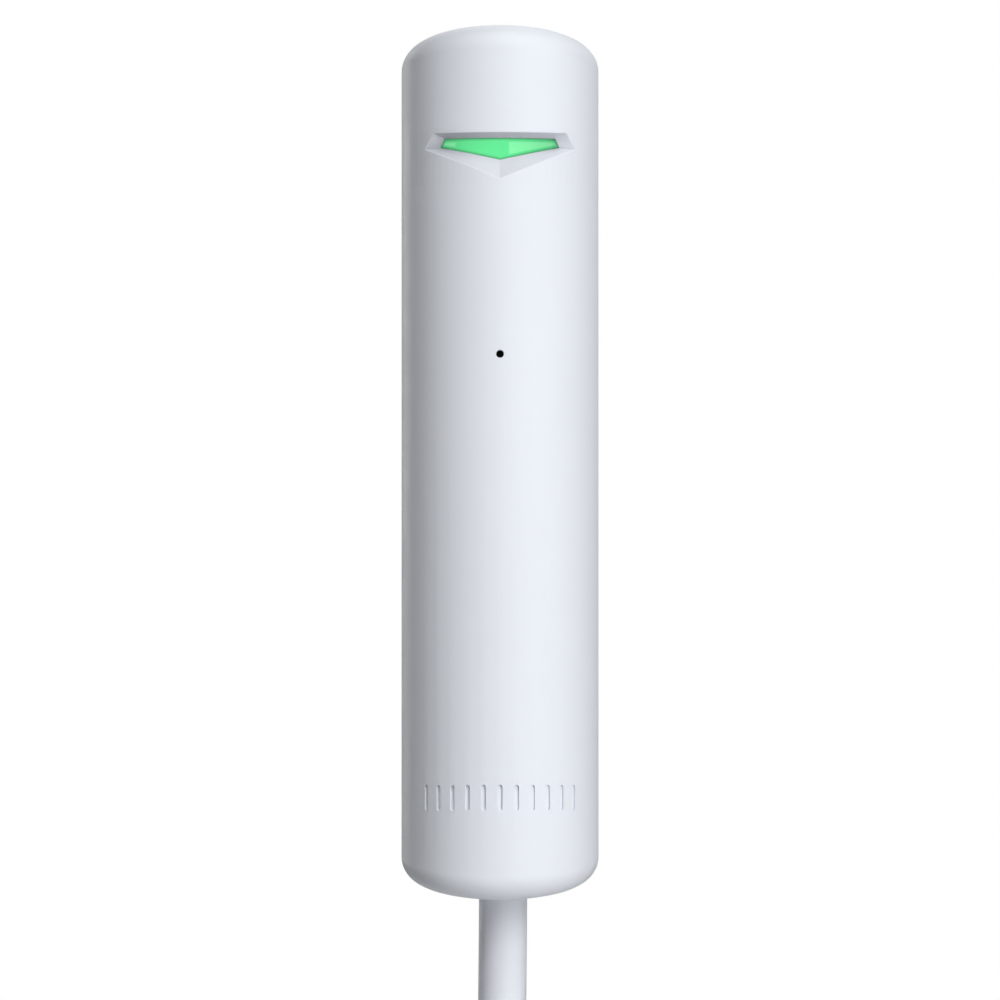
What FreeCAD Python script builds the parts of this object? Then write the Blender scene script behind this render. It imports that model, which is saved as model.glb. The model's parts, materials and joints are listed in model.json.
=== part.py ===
import FreeCAD, Part
import math
import os
import re
import Sketcher

# A wired glass break sensor: a slim round column that hooks onto a flat wall bracket.
# X runs across, Y runs back to the wall, Z runs up. The wall face of the bracket lies at Y = 0,
# and Z = 0 is half way up the column, so depths are measured from the wall towards the front.

os.makedirs("parts", exist_ok=True)
doc = FreeCAD.newDocument("GlassBreakSensor")

# Driving sizes in millimetres and degrees
SIZES = {
    # Column
    "housing_radius": 10.0,
    "axis_depth": 7.5,
    "front_height": 89.8,
    "end_slant": 15.5,
    "edge_round": 2.2,
    "wall": 1.5,
    "back_wall": 1.5,
    "seam_gap": 0.1,
    "lip_length": 1.2,
    "lip_thickness": 0.7,
    "lip_root": 1.5,
    "join_depth": 0.5,
    "fit_gap": 0.1,
    # Wall bracket
    "plate_thickness": 2.0,
    "plate_inset": 6.9,
    "plate_corner": 2.0,
    "slide_gap": 0.15,
    "wall_screw_radius": 1.6,
    "wall_screw_inset": 7.0,
    "wall_screw_head": 3.0,
    "tab_width": 8.2,
    "tab_length": 14.0,
    "tab_middle": 6.0,
    "tab_slot": 0.8,
    "tab_bridge": 1.0,
    "tab_hole_rise": 3.2,
    # Hooks of the bracket and the slots that drop onto them
    "hook_width": 1.8,
    "hook_spacing": 10.0,
    "hook_stem": 1.6,
    "hook_lip": 4.0,
    "hook_lip_thickness": 1.15,
    "hook_play": 0.2,
    "hook_rest_gap": 0.05,
    "hook_run_on": 0.3,
    "upper_hook": 24.0,
    "lower_hook": -13.0,
    "slide_travel": 4.0,
    # Light window: outer outline on the column, inner outline on the lens
    "window_drop": 11.64,
    "shoulder_drop": 1.57,
    "point_drop": 4.7,
    "window_top_half": 6.67,
    "window_tip_half": 7.55,
    "lens_top_drop": 0.53,
    "lens_shoulder_drop": 1.43,
    "lens_point_drop": 2.74,
    "lens_top_half": 5.6,
    "lens_tip_half": 6.0,
    "lens_depth": 1.2,
    "lens_gap": 0.04,
    "lens_round": 0.35,
    "window_round": 0.12,
    "flange_thickness": 1.0,
    "flange_side_margin": 1.2,
    "flange_back_gap": 0.4,
    "flange_top_margin": 0.9,
    "flange_low_margin": 0.3,
    "stem_half_width": 4.2,
    "stem_height": 2.8,
    # Sound opening, microphone and its rubber boot
    "sound_hole_radius": 0.4,
    "sound_hole_height": 10.87,
    "mic_radius": 3.0,
    "mic_length": 2.2,
    "mic_gap": 0.05,
    "boot_radius": 4.0,
    "boot_front_wall": 0.8,
    "boot_port_radius": 1.2,
    "mesh_radius": 2.6,
    "mesh_thickness": 0.15,
    "seat_thickness": 0.7,
    "seat_rim_width": 0.8,
    "seat_rim_height": 1.8,
    "mic_lead_radius": 0.25,
    "mic_lead_spacing": 2.54,
    "mic_lead_stand_out": 0.6,
    # Row of shallow upright grooves near the foot of the column
    "groove_count": 11,
    "groove_width": 0.5,
    "groove_length": 2.6,
    "groove_depth": 0.25,
    "groove_spread": 96.0,
    "groove_rise": 11.0,
    # Circuit board and what locates it
    "board_thickness": 1.2,
    "board_side_gap": 0.375,
    "board_top_gap": 1.0,
    "board_low_gap": 1.8,
    "board_corner": 1.5,
    "rail_overlap": 1.3,
    "rail_width": 1.1,
    "rail_top_gap": 2.1,
    "rail_low_gap": 1.0,
    "post_radius": 2.0,
    "peg_radius": 0.8,
    "peg_length": 1.8,
    "peg_root": 1.0,
    "upper_post": 20.0,
    "lower_post": -9.5,
    "clamp_radius": 0.75,
    "clamp_inset": 0.9,
    "upper_clamp": 12.0,
    "lower_clamp": -4.0,
    "hole_gap": 0.1,
    # Screws that close the housing
    "screw_radius": 1.0,
    "screw_length": 9.0,
    "screw_head_radius": 1.7,
    "screw_head_height": 1.1,
    "screw_sink": 1.3,
    "screw_gap": 0.05,
    "pilot_room": 0.5,
    "cross_half_length": 1.1,
    "cross_half_width": 0.25,
    "cross_depth": 0.6,
    "boss_radius": 1.8,
    "top_screw_drop": 7.8,
    "low_screw_rise": 8.6,
    "low_screw_inset": 2.4,
    # Places of the small parts on the board
    "part_side_gap": 0.5,
    "processor_row": -3.0,
    "power_rise": 14.8,
    "surge_rise": 3.0,
    "amplifier_drop": 7.4,
    "transceiver_rise": 4.0,
    "post_chip_rise": 4.3,
    "post_chip_drop": 3.4,
    "processor_chip_rise": 1.6,
    # Chip resistors and capacitors
    "chip_width": 1.6,
    "chip_height": 0.8,
    "chip_thickness": 0.6,
    # Status lights
    "led_width": 1.6,
    "led_height": 1.0,
    "led_thickness": 0.6,
    "led_spacing": 2.6,
    "led_gap": 0.15,
    # Four-way terminal
    "terminal_pitch": 2.54,
    "terminal_width": 10.6,
    "terminal_rise": 6.0,
    "terminal_height": 6.4,
    "terminal_thickness": 5.5,
    "terminal_back_gap": 0.35,
    "terminal_well_radius": 1.1,
    "terminal_well_depth": 2.0,
    "terminal_row_rise": 3.1,
    "terminal_screw_radius": 0.95,
    "terminal_screw_length": 1.5,
    "terminal_slot_width": 0.35,
    "terminal_slot_depth": 0.5,
    "entry_radius": 0.9,
    "entry_length": 3.4,
    "entry_set": 3.0,
    "pin_width": 0.8,
    "pin_stand_out": 1.3,
    "access_margin": 0.25,
    "access_half_height": 2.6,
    # Tamper switch and plunger
    "tamper_drop": 3.0,
    "switch_width": 4.4,
    "switch_thickness": 2.55,
    "switch_stem_radius": 0.9,
    "switch_stem_length": 1.0,
    "switch_well_depth": 1.8,
    "plunger_radius": 1.5,
    "plunger_collar_radius": 2.2,
    "plunger_collar_thickness": 0.8,
    "plunger_collar_gap": 0.3,
    "plunger_room": 0.65,
    "plunger_tip_gap": 0.02,
    "plunger_side_gap": 0.1,
    # Cable and its four cores
    "cable_radius": 2.45,
    "cable_offset": 0.335,
    "cable_back_gap": 0.42,
    "cable_hole_gap": 0.1,
    "sheath_drop": 2.2,
    "core_radius": 0.55,
    "core_offset": 0.7,
    "core_rise": 1.8,
    "core_entry": 2.4,
    "tie_drop": 2.7,
    "tie_height": 2.4,
    "tie_thickness": 0.45,
    "tie_head": 3.0,
    "tie_head_set": 0.2,
    "tie_gap": 0.03,
    # Hank of put-away cable
    "hank_drop": 17.1,
    "turn_radius": 24.5,
    "lobe_offset": 30.0,
    "waist_half": 12.25,
    "hank_slack": 0.25,
    "hank_flat": 0.6,
    "hank_edge": 2.0,
    "layer_count": 3,
    "hank_tie_height": 9.0,
    "hank_tie_thickness": 1.2,
    "hank_tie_gap": 0.2,
    "tail_length": 14.0,
    "bare_core_length": 12.0,
    "core_straight": 3.6,
    "core_spread": 1.6,
    "copper_radius": 0.3,
    "copper_length": 5.0,
}

# Small parts soldered to the board: middle across, middle up, width, height, thickness
FRONT_PARTS = {
    "microcontroller": (0.0, "processor_row", 5.0, 5.0, 0.9),
    "clock_crystal": ("part_side - clock_crystal_width / 2", "processor_row", 2.0, 2.5, 0.8),
    "power_inductor": ("part_side - power_inductor_width / 2", "board_bottom + power_rise", 4.0, 4.0, 2.2),
    "voltage_regulator": ("1.5 - part_side", "board_bottom + power_rise", 3.0, 2.6, 1.1),
}
BACK_PARTS = {
    "surge_diodes": (3.4, "terminal_top + surge_rise", 2.6, 4.3, 2.0),
    "tantalum_capacitors": (3.2, -4.4, 2.8, 3.5, 1.9),
}
LEADED_PARTS = {
    "mic_amplifier": (0.0, "sound_hole_height - amplifier_drop", 3.9, 4.9, 1.5),
    "line_transceiver": (0.0, "board_bottom + transceiver_rise", 3.9, 4.9, 1.5),
}

# Sizes worked out from the driving ones
FORMULAS = {
    "half_height": "front_height / 2",
    "front_depth": "axis_depth + housing_radius",
    "inner_radius": "housing_radius - wall",
    "inner_front": "axis_depth + inner_radius",
    "inner_half_height": "half_height - wall * tan(end_slant) - wall / cos(end_slant)",
    "plate_half": "half_height - plate_inset",
    "wall_screw_height": "plate_half - wall_screw_inset",
    "window_top": "half_height - window_drop",
    "window_shoulder": "window_top - shoulder_drop",
    "window_point": "window_top - point_drop",
    "lens_top": "window_top - lens_top_drop",
    "lens_shoulder": "window_top - lens_shoulder_drop",
    "lens_point": "window_top - lens_point_drop",
    "flange_half": "lens_tip_half + flange_side_margin",
    "flange_top": "window_top + flange_top_margin",
    "flange_bottom": "window_point - flange_low_margin",
    "stem_bottom": "lens_top - stem_height",
    "led_row": "lens_top - stem_height / 2",
    "groove_height": "groove_rise - half_height",
    "top_screw_height": "half_height - top_screw_drop",
    "low_screw_height": "low_screw_rise - half_height",
    "low_screw_side": "inner_radius - low_screw_inset",
    "board_top": "top_screw_height - boss_radius - board_top_gap",
    "board_bottom": "low_screw_height + boss_radius + board_low_gap",
    "board_half": "sqrt(inner_radius^2 - (board_front - axis_depth)^2) - board_side_gap",
    "rail_inside": "board_half - rail_overlap",
    "part_side": "rail_inside - part_side_gap",
    "rail_top": "flange_bottom - rail_top_gap",
    "rail_bottom": "board_bottom + rail_low_gap",
    "clamp_side": "board_half - clamp_inset",
    "terminal_bottom": "board_bottom + terminal_rise",
    "terminal_row": "terminal_bottom + terminal_row_rise",
    "tamper_height": "tab_middle - tamper_drop",
    "plate_half_width": "sqrt(housing_radius^2 - (axis_depth - plate_thickness)^2)",
    "sheath_top": "board_bottom - sheath_drop",
    "tie_bottom": "low_screw_height - tie_drop",
    "hank_top": "-(half_height + hank_drop)",
    "back_face": "plate_thickness + slide_gap",
    "cover_inside": "back_face + back_wall",
    "board_depth": "cover_inside + terminal_back_gap + terminal_thickness",
    "board_front": "board_depth + board_thickness",
    "cable_depth": "cover_inside + cable_back_gap + tie_thickness + tie_gap + cable_radius",
    "seam_depth": "cable_depth",
    "lens_radius": "housing_radius - lens_depth",
    "lip_outside": "inner_radius - fit_gap",
    "seat_depth": "inner_front - seat_thickness",
    "boot_front": "seat_depth - mesh_thickness",
    "mic_front": "boot_front - boot_front_wall",
    "mic_back": "mic_front - mic_length",
    "terminal_top": "terminal_bottom + terminal_height",
    "terminal_face": "board_depth - terminal_thickness",
    "switch_face": "board_depth - switch_thickness",
    "plunger_tip": "plate_thickness + plunger_tip_gap",
    "plunger_end": "switch_face - plunger_room",
    "entry_depth": "terminal_face + entry_set",
    "hook_reach": "cover_inside + hook_play + hook_lip_thickness",
    "cable_room": "cable_radius + cable_hole_gap",
    "lobe_radius": "turn_radius + cable_radius + hank_slack",
    "notch_bend": "(waist_half^2 + lobe_offset^2 - turn_radius^2) / (2 * (turn_radius - waist_half))",
    "notch_side": "notch_bend + waist_half",
    "notch_radius": "notch_bend - cable_radius - hank_slack",
    "neck_share": "lobe_radius / (lobe_radius + notch_radius)",
    "tie_half": "notch_side - sqrt(notch_radius^2 - hank_tie_height^2 / 4) + hank_tie_gap",
    "hank_half": "lobe_offset + lobe_radius - hank_flat",
    "waist_height": "hank_top - hank_half",
    "hank_bottom": "hank_top - 2 * hank_half",
    "hank_front": "cable_depth + (2 * layer_count - 1) * cable_radius + hank_slack",
    "hank_back": "cable_depth - cable_radius - hank_slack",
}

# Leads of the leaded chips, rows of small chips (steps across and height) and the terminal's ways
SIDES = (-1, 1)
LEADS_A_SIDE = 4
LEAD_PITCH = 1.27
LEAD_LENGTH = 1.0
LEAD_WIDTH = 0.4
LEAD_THICKNESS = 0.25
LEAD_ROOT = 0.2
CHIP_ROWS = {
    "chip_resistors": [
        ((-1, 0, 1), "upper_post + post_chip_rise"),
        (SIDES, "mic_amplifier_up"),
        (SIDES, "line_transceiver_up"),
    ],
    "chip_capacitors": [
        (SIDES, "upper_post - post_chip_drop"),
        ((-1,), "processor_row + processor_chip_rise"),
        ((-1,), "processor_row - processor_chip_rise"),
        (SIDES, "lower_post"),
    ],
}
TERMINAL_STEPS = (-1.5, -0.5, 0.5, 1.5)

sheet = doc.addObject("Spreadsheet::Sheet", "Sizes")
sub_parts = []


def store_sizes():
    """Each size goes into its own cell of the sheet under its own name."""
    cells = dict(SIZES)
    for group in (FRONT_PARTS, BACK_PARTS, LEADED_PARTS):
        for part, row in group.items():
            for word, size in zip(("across", "up", "width", "height", "thickness"), row):
                cells[f"{part}_{word}"] = "=" + size if isinstance(size, str) else size
    cells.update({name: "=" + formula for name, formula in FORMULAS.items()})
    for row, (name, content) in enumerate(cells.items(), 1):
        sheet.set(f"A{row}", name)
        sheet.set(f"B{row}", str(content))
        sheet.setAlias(f"B{row}", name)
    doc.recompute()
    return set(cells)


size_names = store_sizes()


def size(name):
    """The present value of one size."""
    return float(sheet.get(name))


def formula(text):
    """A formula in plain size names, rewritten to read the sheet."""
    return re.sub(r"[a-z_]+", lambda word: "Sizes." * (word.group() in size_names) + word.group(), str(text))


def bind(item, **formulas):
    """Ties each named property of an object to a formula of sizes."""
    for name, text in formulas.items():
        item.setExpression(name, formula(text))
    return item


def place(item, x, y, z):
    for axis, text in zip("xyz", (x, y, z)):
        item.setExpression(f".Placement.Base.{axis}", formula(text))
    return item


def one_side(side, near, far):
    """The bounds across X of something that lies between two distances on one side of the middle."""
    return (near, far) if side > 0 else (f"-({far})", f"-({near})")


# Blocks and rods


def block(name, x, y, z):
    """A box between two bounds on each axis; depths are given positive, from the wall forwards."""
    item = doc.addObject("Part::Box", name)
    near, far = y
    bind(item, Length=f"({x[1]}) - ({x[0]})", Width=f"({far}) - ({near})", Height=f"({z[1]}) - ({z[0]})")
    return place(item, x[0], f"-({far})", z[0])


def rod(name, x, z, near, far, radius):
    """A round bar from one depth to another, square to the wall."""
    item = doc.addObject("Part::Cylinder", name)
    item.Placement.Rotation = FreeCAD.Rotation(FreeCAD.Vector(1, 0, 0), 90)
    bind(item, Radius=radius, Height=f"({far}) - ({near})")
    return place(item, x, f"-({near})", z)


def sink(name, x, z, near, far, near_radius, far_radius):
    """A cone from one depth to another, square to the wall."""
    item = doc.addObject("Part::Cone", name)
    item.Placement.Rotation = FreeCAD.Rotation(FreeCAD.Vector(1, 0, 0), 90)
    bind(item, Radius1=near_radius, Radius2=far_radius, Height=f"({far}) - ({near})")
    return place(item, x, f"-({near})", z)


def upright(name, x, depth, bottom, top, radius):
    """A round bar that stands along Z."""
    item = doc.addObject("Part::Cylinder", name)
    bind(item, Radius=radius, Height=f"({top}) - ({bottom})")
    return place(item, x, f"-({depth})", bottom)


# Joining and cutting


def fuse(name, *items):
    if len(items) == 1:
        return items[0]
    item = doc.addObject("Part::MultiFuse", name)
    item.Shapes = list(items)
    return item


def cut(name, base, *tools):
    item = doc.addObject("Part::Cut", name)
    item.Base = base
    item.Tool = fuse(name + "Tools", *tools)
    return item


def common(name, base, tool):
    item = doc.addObject("Part::Common", name)
    item.Base = base
    item.Tool = tool
    return item


def group(name, *items):
    """Like pieces that stay apart, kept as one sub-part."""
    item = doc.addObject("Part::Compound", name)
    item.Links = list(items)
    return item


def sub_part(item, label):
    item.Label = label
    sub_parts.append(item)
    return item


# Bodies made from sketches


def plane(body, role):
    return next(item for item in body.Origin.OriginFeatures if item.Role == role)


def new_sketch(body, name, role):
    sketch = body.newObject("Sketcher::SketchObject", name)
    sketch.AttachmentSupport = (plane(body, role), [""])
    sketch.MapMode = "FlatFace"
    return sketch


def set_distance(sketch, kind, geometry, text):
    """A signed distance from the sketch's origin to the start of one line."""
    index = sketch.addConstraint(Sketcher.Constraint(kind, -1, 1, geometry, 1, 1.0))
    sketch.setExpression(f"Constraints[{index}]", formula(text))


def draw_outline(sketch, points):
    """A closed outline of straight lines, each corner given by two formulas."""
    first = len(sketch.Geometry)
    count = len(points)
    for number in range(count):
        start = FreeCAD.Vector(number, number % 2, 0)
        end = FreeCAD.Vector(number + 1, (number + 1) % 2, 0)
        sketch.addGeometry(Part.LineSegment(start, end), False)
    for number, point in enumerate(points):
        following = first + (number + 1) % count
        sketch.addConstraint(Sketcher.Constraint("Coincident", first + number, 2, following, 1))
        set_distance(sketch, "DistanceX", first + number, point[0])
        set_distance(sketch, "DistanceY", first + number, point[1])


def draw_circle(sketch, x, y, radius):
    circle = Part.Circle(FreeCAD.Vector(0, 0, 0), FreeCAD.Vector(0, 0, 1), 1.0)
    geometry = sketch.addGeometry(circle, False)
    for kind, text in (("DistanceX", x), ("DistanceY", y)):
        index = sketch.addConstraint(Sketcher.Constraint(kind, -1, 1, geometry, 3, 1.0))
        sketch.setExpression(f"Constraints[{index}]", formula(text))
    index = sketch.addConstraint(Sketcher.Constraint("Radius", geometry, 1.0))
    sketch.setExpression(f"Constraints[{index}]", formula(radius))


def pad(body, name, sketch, length, side="One side"):
    feature = body.newObject("PartDesign::Pad", name)
    feature.Profile = sketch
    feature.SideType = side
    bind(feature, Length=length)
    sketch.Visibility = False
    return feature


def pocket(body, name, sketch, length, side="One side"):
    feature = body.newObject("PartDesign::Pocket", name)
    feature.Profile = sketch
    feature.SideType = side
    bind(feature, Length=length)
    return feature


def edges_where(feature, test):
    """The names of a feature's edges that pass a test."""
    return [f"Edge{number}" for number, edge in enumerate(feature.Shape.Edges, 1) if test(edge)]


def edge_middle(edge):
    return edge.valueAt((edge.FirstParameter + edge.LastParameter) / 2)


def on_round(edge, radius):
    """True for an edge whose middle lies this far from the column's axis."""
    middle = edge_middle(edge)
    return abs(math.hypot(middle.x, middle.y + size("axis_depth")) - size(radius)) < FLAT


def rounded(name, base, radius, test):
    """Rounds the edges of a solid that pass a test."""
    doc.recompute()
    item = doc.addObject("Part::Fillet", name)
    item.Base = base
    picked = [number for number, edge in enumerate(base.Shape.Edges, 1) if test(edge)]
    item.Edges = [(number, size(radius), size(radius)) for number in picked]
    return item


# Column form


def column_form(name, radius, half_height, reach):
    """A round bar whose ends are cut off on a slant, longest at the front."""
    body = doc.addObject("PartDesign::Body", name)
    outline = new_sketch(body, name + "Circle", "XY_Plane")
    draw_circle(outline, 0, "-axis_depth", radius)
    pad(body, name + "Bar", outline, f"2 * ({half_height}) + 2 * {reach}", "Symmetric")
    wedges = new_sketch(body, name + "Wedges", "YZ_Plane")
    front = f"-(axis_depth + {radius} + {reach})"
    back = f"{radius} - axis_depth + {reach}"
    outer = f"({half_height}) + 2 * {reach}"
    high = f"({half_height}) + {reach} * tan(end_slant)"
    low = f"({half_height}) - (2 * {radius} + {reach}) * tan(end_slant)"
    draw_outline(wedges, [(front, high), (back, low), (back, outer), (front, outer)])
    high, low, outer = f"-({high})", f"-({low})", f"-({outer})"
    draw_outline(wedges, [(front, high), (front, outer), (back, outer), (back, low)])
    pocket(body, name + "Slants", wedges, f"2 * {radius} + 2 * {reach}", "Symmetric")
    doc.recompute()
    return body


def round_rims(body, rounding):
    """Rounds the rims of a column's two slanted ends."""
    slants = body.Tip
    rims = body.newObject("PartDesign::Fillet", body.Name + "Rims")
    rims.Base = (slants, edges_where(slants, lambda edge: isinstance(edge.Curve, Part.Ellipse)))
    bind(rims, Radius=rounding)


MARGIN = 2.0
SPAN = 60.0
FLAT = 0.01
FLARE_START = -0.2
FLARE_END = 1.5
ALL_ACROSS = (-SPAN, SPAN)
ALL_UP = (-SPAN, SPAN)

outer_form = column_form("OuterForm", "housing_radius", "half_height", MARGIN)
round_rims(outer_form, "edge_round")
inner_form = column_form("InnerForm", "inner_radius", "inner_half_height", MARGIN)
column_shell = cut("ColumnShell", outer_form, inner_form)

SCREW_PLACES = [
    ("0", "top_screw_height"),
    ("-low_screw_side", "low_screw_height"),
    ("low_screw_side", "low_screw_height"),
]
HOOK_ROWS = ("upper_hook", "lower_hook")
POST_ROWS = ("upper_post", "lower_post")


def ring(name, inside, outside):
    """An upright tube about the column's axis."""
    outer = upright(name + "Outside", 0, "axis_depth", -SPAN, SPAN, outside)
    inner = upright(name + "Inside", 0, "axis_depth", -SPAN, SPAN, inside)
    return cut(name, outer, inner)


# Light window: its sloping faces follow the round of the column


def window_outline(share):
    """Corners of the window, from the lens outline at 0 to the outline on the column at 1."""
    lens = [
        (-size("lens_top_half"), size("lens_top")),
        (size("lens_top_half"), size("lens_top")),
        (size("lens_tip_half"), size("lens_shoulder")),
        (0.0, size("lens_point")),
        (-size("lens_tip_half"), size("lens_shoulder")),
    ]
    column = [
        (-size("window_top_half"), size("window_top")),
        (size("window_top_half"), size("window_top")),
        (size("window_tip_half"), size("window_shoulder")),
        (0.0, size("window_point")),
        (-size("window_tip_half"), size("window_shoulder")),
    ]
    return [(a[0] + (b[0] - a[0]) * share, a[1] + (b[1] - a[1]) * share) for a, b in zip(lens, column)]


def window_face(share):
    """The piece of an upright round surface that the window's outline takes in at this share."""
    radius = size("lens_radius") + share * (size("housing_radius") - size("lens_radius"))
    corners = [FreeCAD.Vector(x, -size("axis_depth"), z) for x, z in window_outline(share)]
    prism = Part.Face(Part.makePolygon(corners + corners[:1])).extrude(FreeCAD.Vector(0, -SPAN, 0))
    bar = Part.makeCylinder(radius, 2 * SPAN, FreeCAD.Vector(0, -size("axis_depth"), -SPAN))
    piece = prism.common(bar)
    return next(face for face in piece.Faces if isinstance(face.Surface, Part.Cylinder))


def edge_key(edge, middle):
    """The direction of an edge's middle as seen from the window's centre."""
    point = edge_middle(edge)
    return math.atan2(point.z - middle.z, point.x - middle.x)


def window_flare():
    """Ruled faces between the window's outline under the lens face and beyond the column."""
    inner = window_face(FLARE_START)
    outer = window_face(FLARE_END)
    middle = FreeCAD.Vector(0, 0, (size("lens_top") + size("lens_point")) / 2)
    low_edges = sorted(inner.Edges, key=lambda edge: edge_key(edge, middle))
    high_edges = sorted(outer.Edges, key=lambda edge: edge_key(edge, middle))
    walls = [Part.makeRuledSurface(low, high) for low, high in zip(low_edges, high_edges)]
    shell = Part.makeShell([inner, outer] + walls)
    shell.sewShape()
    solid = Part.makeSolid(shell)
    if solid.Volume < 0:
        solid.reverse()
    item = doc.addObject("Part::Feature", "WindowFlare")
    item.Shape = solid
    return item


def window_rim(edge):
    """True for the edges where the window's recess meets the round of the column."""
    middle = edge_middle(edge)
    room = size("window_round")
    in_rows = size("window_point") - room < middle.z < size("window_top") + room
    return in_rows and middle.y < -size("axis_depth") and on_round(edge, "housing_radius")


def lens_prism(name, gap):
    """The lens outline, less a gap all round, run from near the board to beyond the column's front."""
    body = doc.addObject("PartDesign::Body", name)
    sketch = new_sketch(body, name + "Outline", "XZ_Plane")
    bind(sketch, **{".AttachmentOffset.Base.z": "board_front + flange_back_gap"})
    top = f"lens_top - {gap}"
    corners = [
        (f"{gap} - lens_top_half", top),
        (f"lens_top_half - {gap}", top),
        (f"lens_tip_half - {gap}", "lens_shoulder"),
        ("0", f"lens_point + {gap}"),
        (f"{gap} - lens_tip_half", "lens_shoulder"),
    ]
    draw_outline(sketch, corners)
    pad(body, name + "Prism", sketch, "housing_radius")
    return body


def groove_row():
    """Cutters for a row of equal upright grooves, spread round the front of the column."""
    body = doc.addObject("PartDesign::Body", "GrooveRow")
    slot = new_sketch(body, "GrooveSides", "XZ_Plane")
    ends = new_sketch(body, "GrooveEnds", "XZ_Plane")
    for sketch in (slot, ends):
        bind(sketch, **{".AttachmentOffset.Base.z": "housing_radius - groove_depth"})
    low = "groove_height - groove_length / 2 + groove_width / 2"
    high = "groove_height + groove_length / 2 - groove_width / 2"
    left, right = "-groove_width / 2", "groove_width / 2"
    draw_outline(slot, [(left, low), (right, low), (right, high), (left, high)])
    draw_circle(ends, 0, low, right)
    draw_circle(ends, 0, high, right)
    straight = pad(body, "GrooveStraight", slot, f"groove_depth + {MARGIN}")
    round_ends = pad(body, "GrooveRounds", ends, f"groove_depth + {MARGIN}")
    doc.recompute()
    row = body.newObject("PartDesign::PolarPattern", "GrooveSpread")
    row.Originals = [straight, round_ends]
    row.Axis = (plane(body, "Z_Axis"), [""])
    bind(row, Angle="groove_spread", Occurrences="groove_count")
    body.Tip = row
    body.Placement.Rotation = FreeCAD.Rotation(FreeCAD.Vector(0, 0, 1), -size("groove_spread") / 2)
    place(body, 0, "-axis_depth", 0)
    return body


# Front housing: the visible column with its window, sound hole, rails, posts and bosses


def front_housing():
    front_room = block("FrontRoom", ALL_ACROSS, ("seam_depth", SPAN), ALL_UP)
    shell = common("FrontShell", column_shell, front_room)
    wall_middle = "inner_front + wall / 2"
    inside = []
    for side in SIDES:
        rail = one_side(side, "rail_inside", "rail_inside + rail_width")
        inside.append(block("BoardRail", rail, ("board_front", wall_middle), ("rail_bottom", "rail_top")))
    for row in POST_ROWS:
        inside.append(rod("BoardPost", 0, row, "board_front", wall_middle, "post_radius"))
        tip = "board_front - peg_length"
        inside.append(rod("BoardPeg", 0, row, tip, "board_front + peg_root", "peg_radius"))
    for x, z in SCREW_PLACES:
        inside.append(rod("ScrewBoss", x, z, "seam_depth", wall_middle, "boss_radius"))
    rim = "boot_radius + fit_gap + seat_rim_width"
    inside.append(rod("MicSeat", 0, "sound_hole_height", "seat_depth - seat_rim_height", wall_middle, rim))
    support_room = upright("SupportRoom", 0, "axis_depth", -SPAN, SPAN, "inner_radius + wall / 2")
    supports = common("FrontSupports", fuse("FrontInside", *inside), support_room)
    tools = [window_flare(), lens_prism("LensOpening", 0), groove_row(), cable_hole("FrontCableHole")]
    seat = rod("MicRoom", 0, "sound_hole_height", "seam_depth", "seat_depth", "boot_radius + fit_gap")
    outside = f"front_depth + {MARGIN}"
    hole = rod("SoundHole", 0, "sound_hole_height", "seam_depth", outside, "sound_hole_radius")
    tools += [seat, hole]
    for x, z in SCREW_PLACES:
        depth = "back_face + screw_sink + screw_length + pilot_room"
        tools.append(rod("PilotHole", x, z, f"seam_depth - {MARGIN}", depth, "screw_radius + screw_gap"))
    housing = cut("FrontHousing", fuse("FrontSolid", shell, supports), *tools)
    sub_part(rounded("WindowRim", housing, "window_round", window_rim), "front_housing")


def cable_hole(name):
    return upright(name, "cable_offset", "cable_depth", -SPAN, "low_screw_height", "cable_room")


# Rear cover: the flat back of the column, with the slots that hang on the bracket


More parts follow.
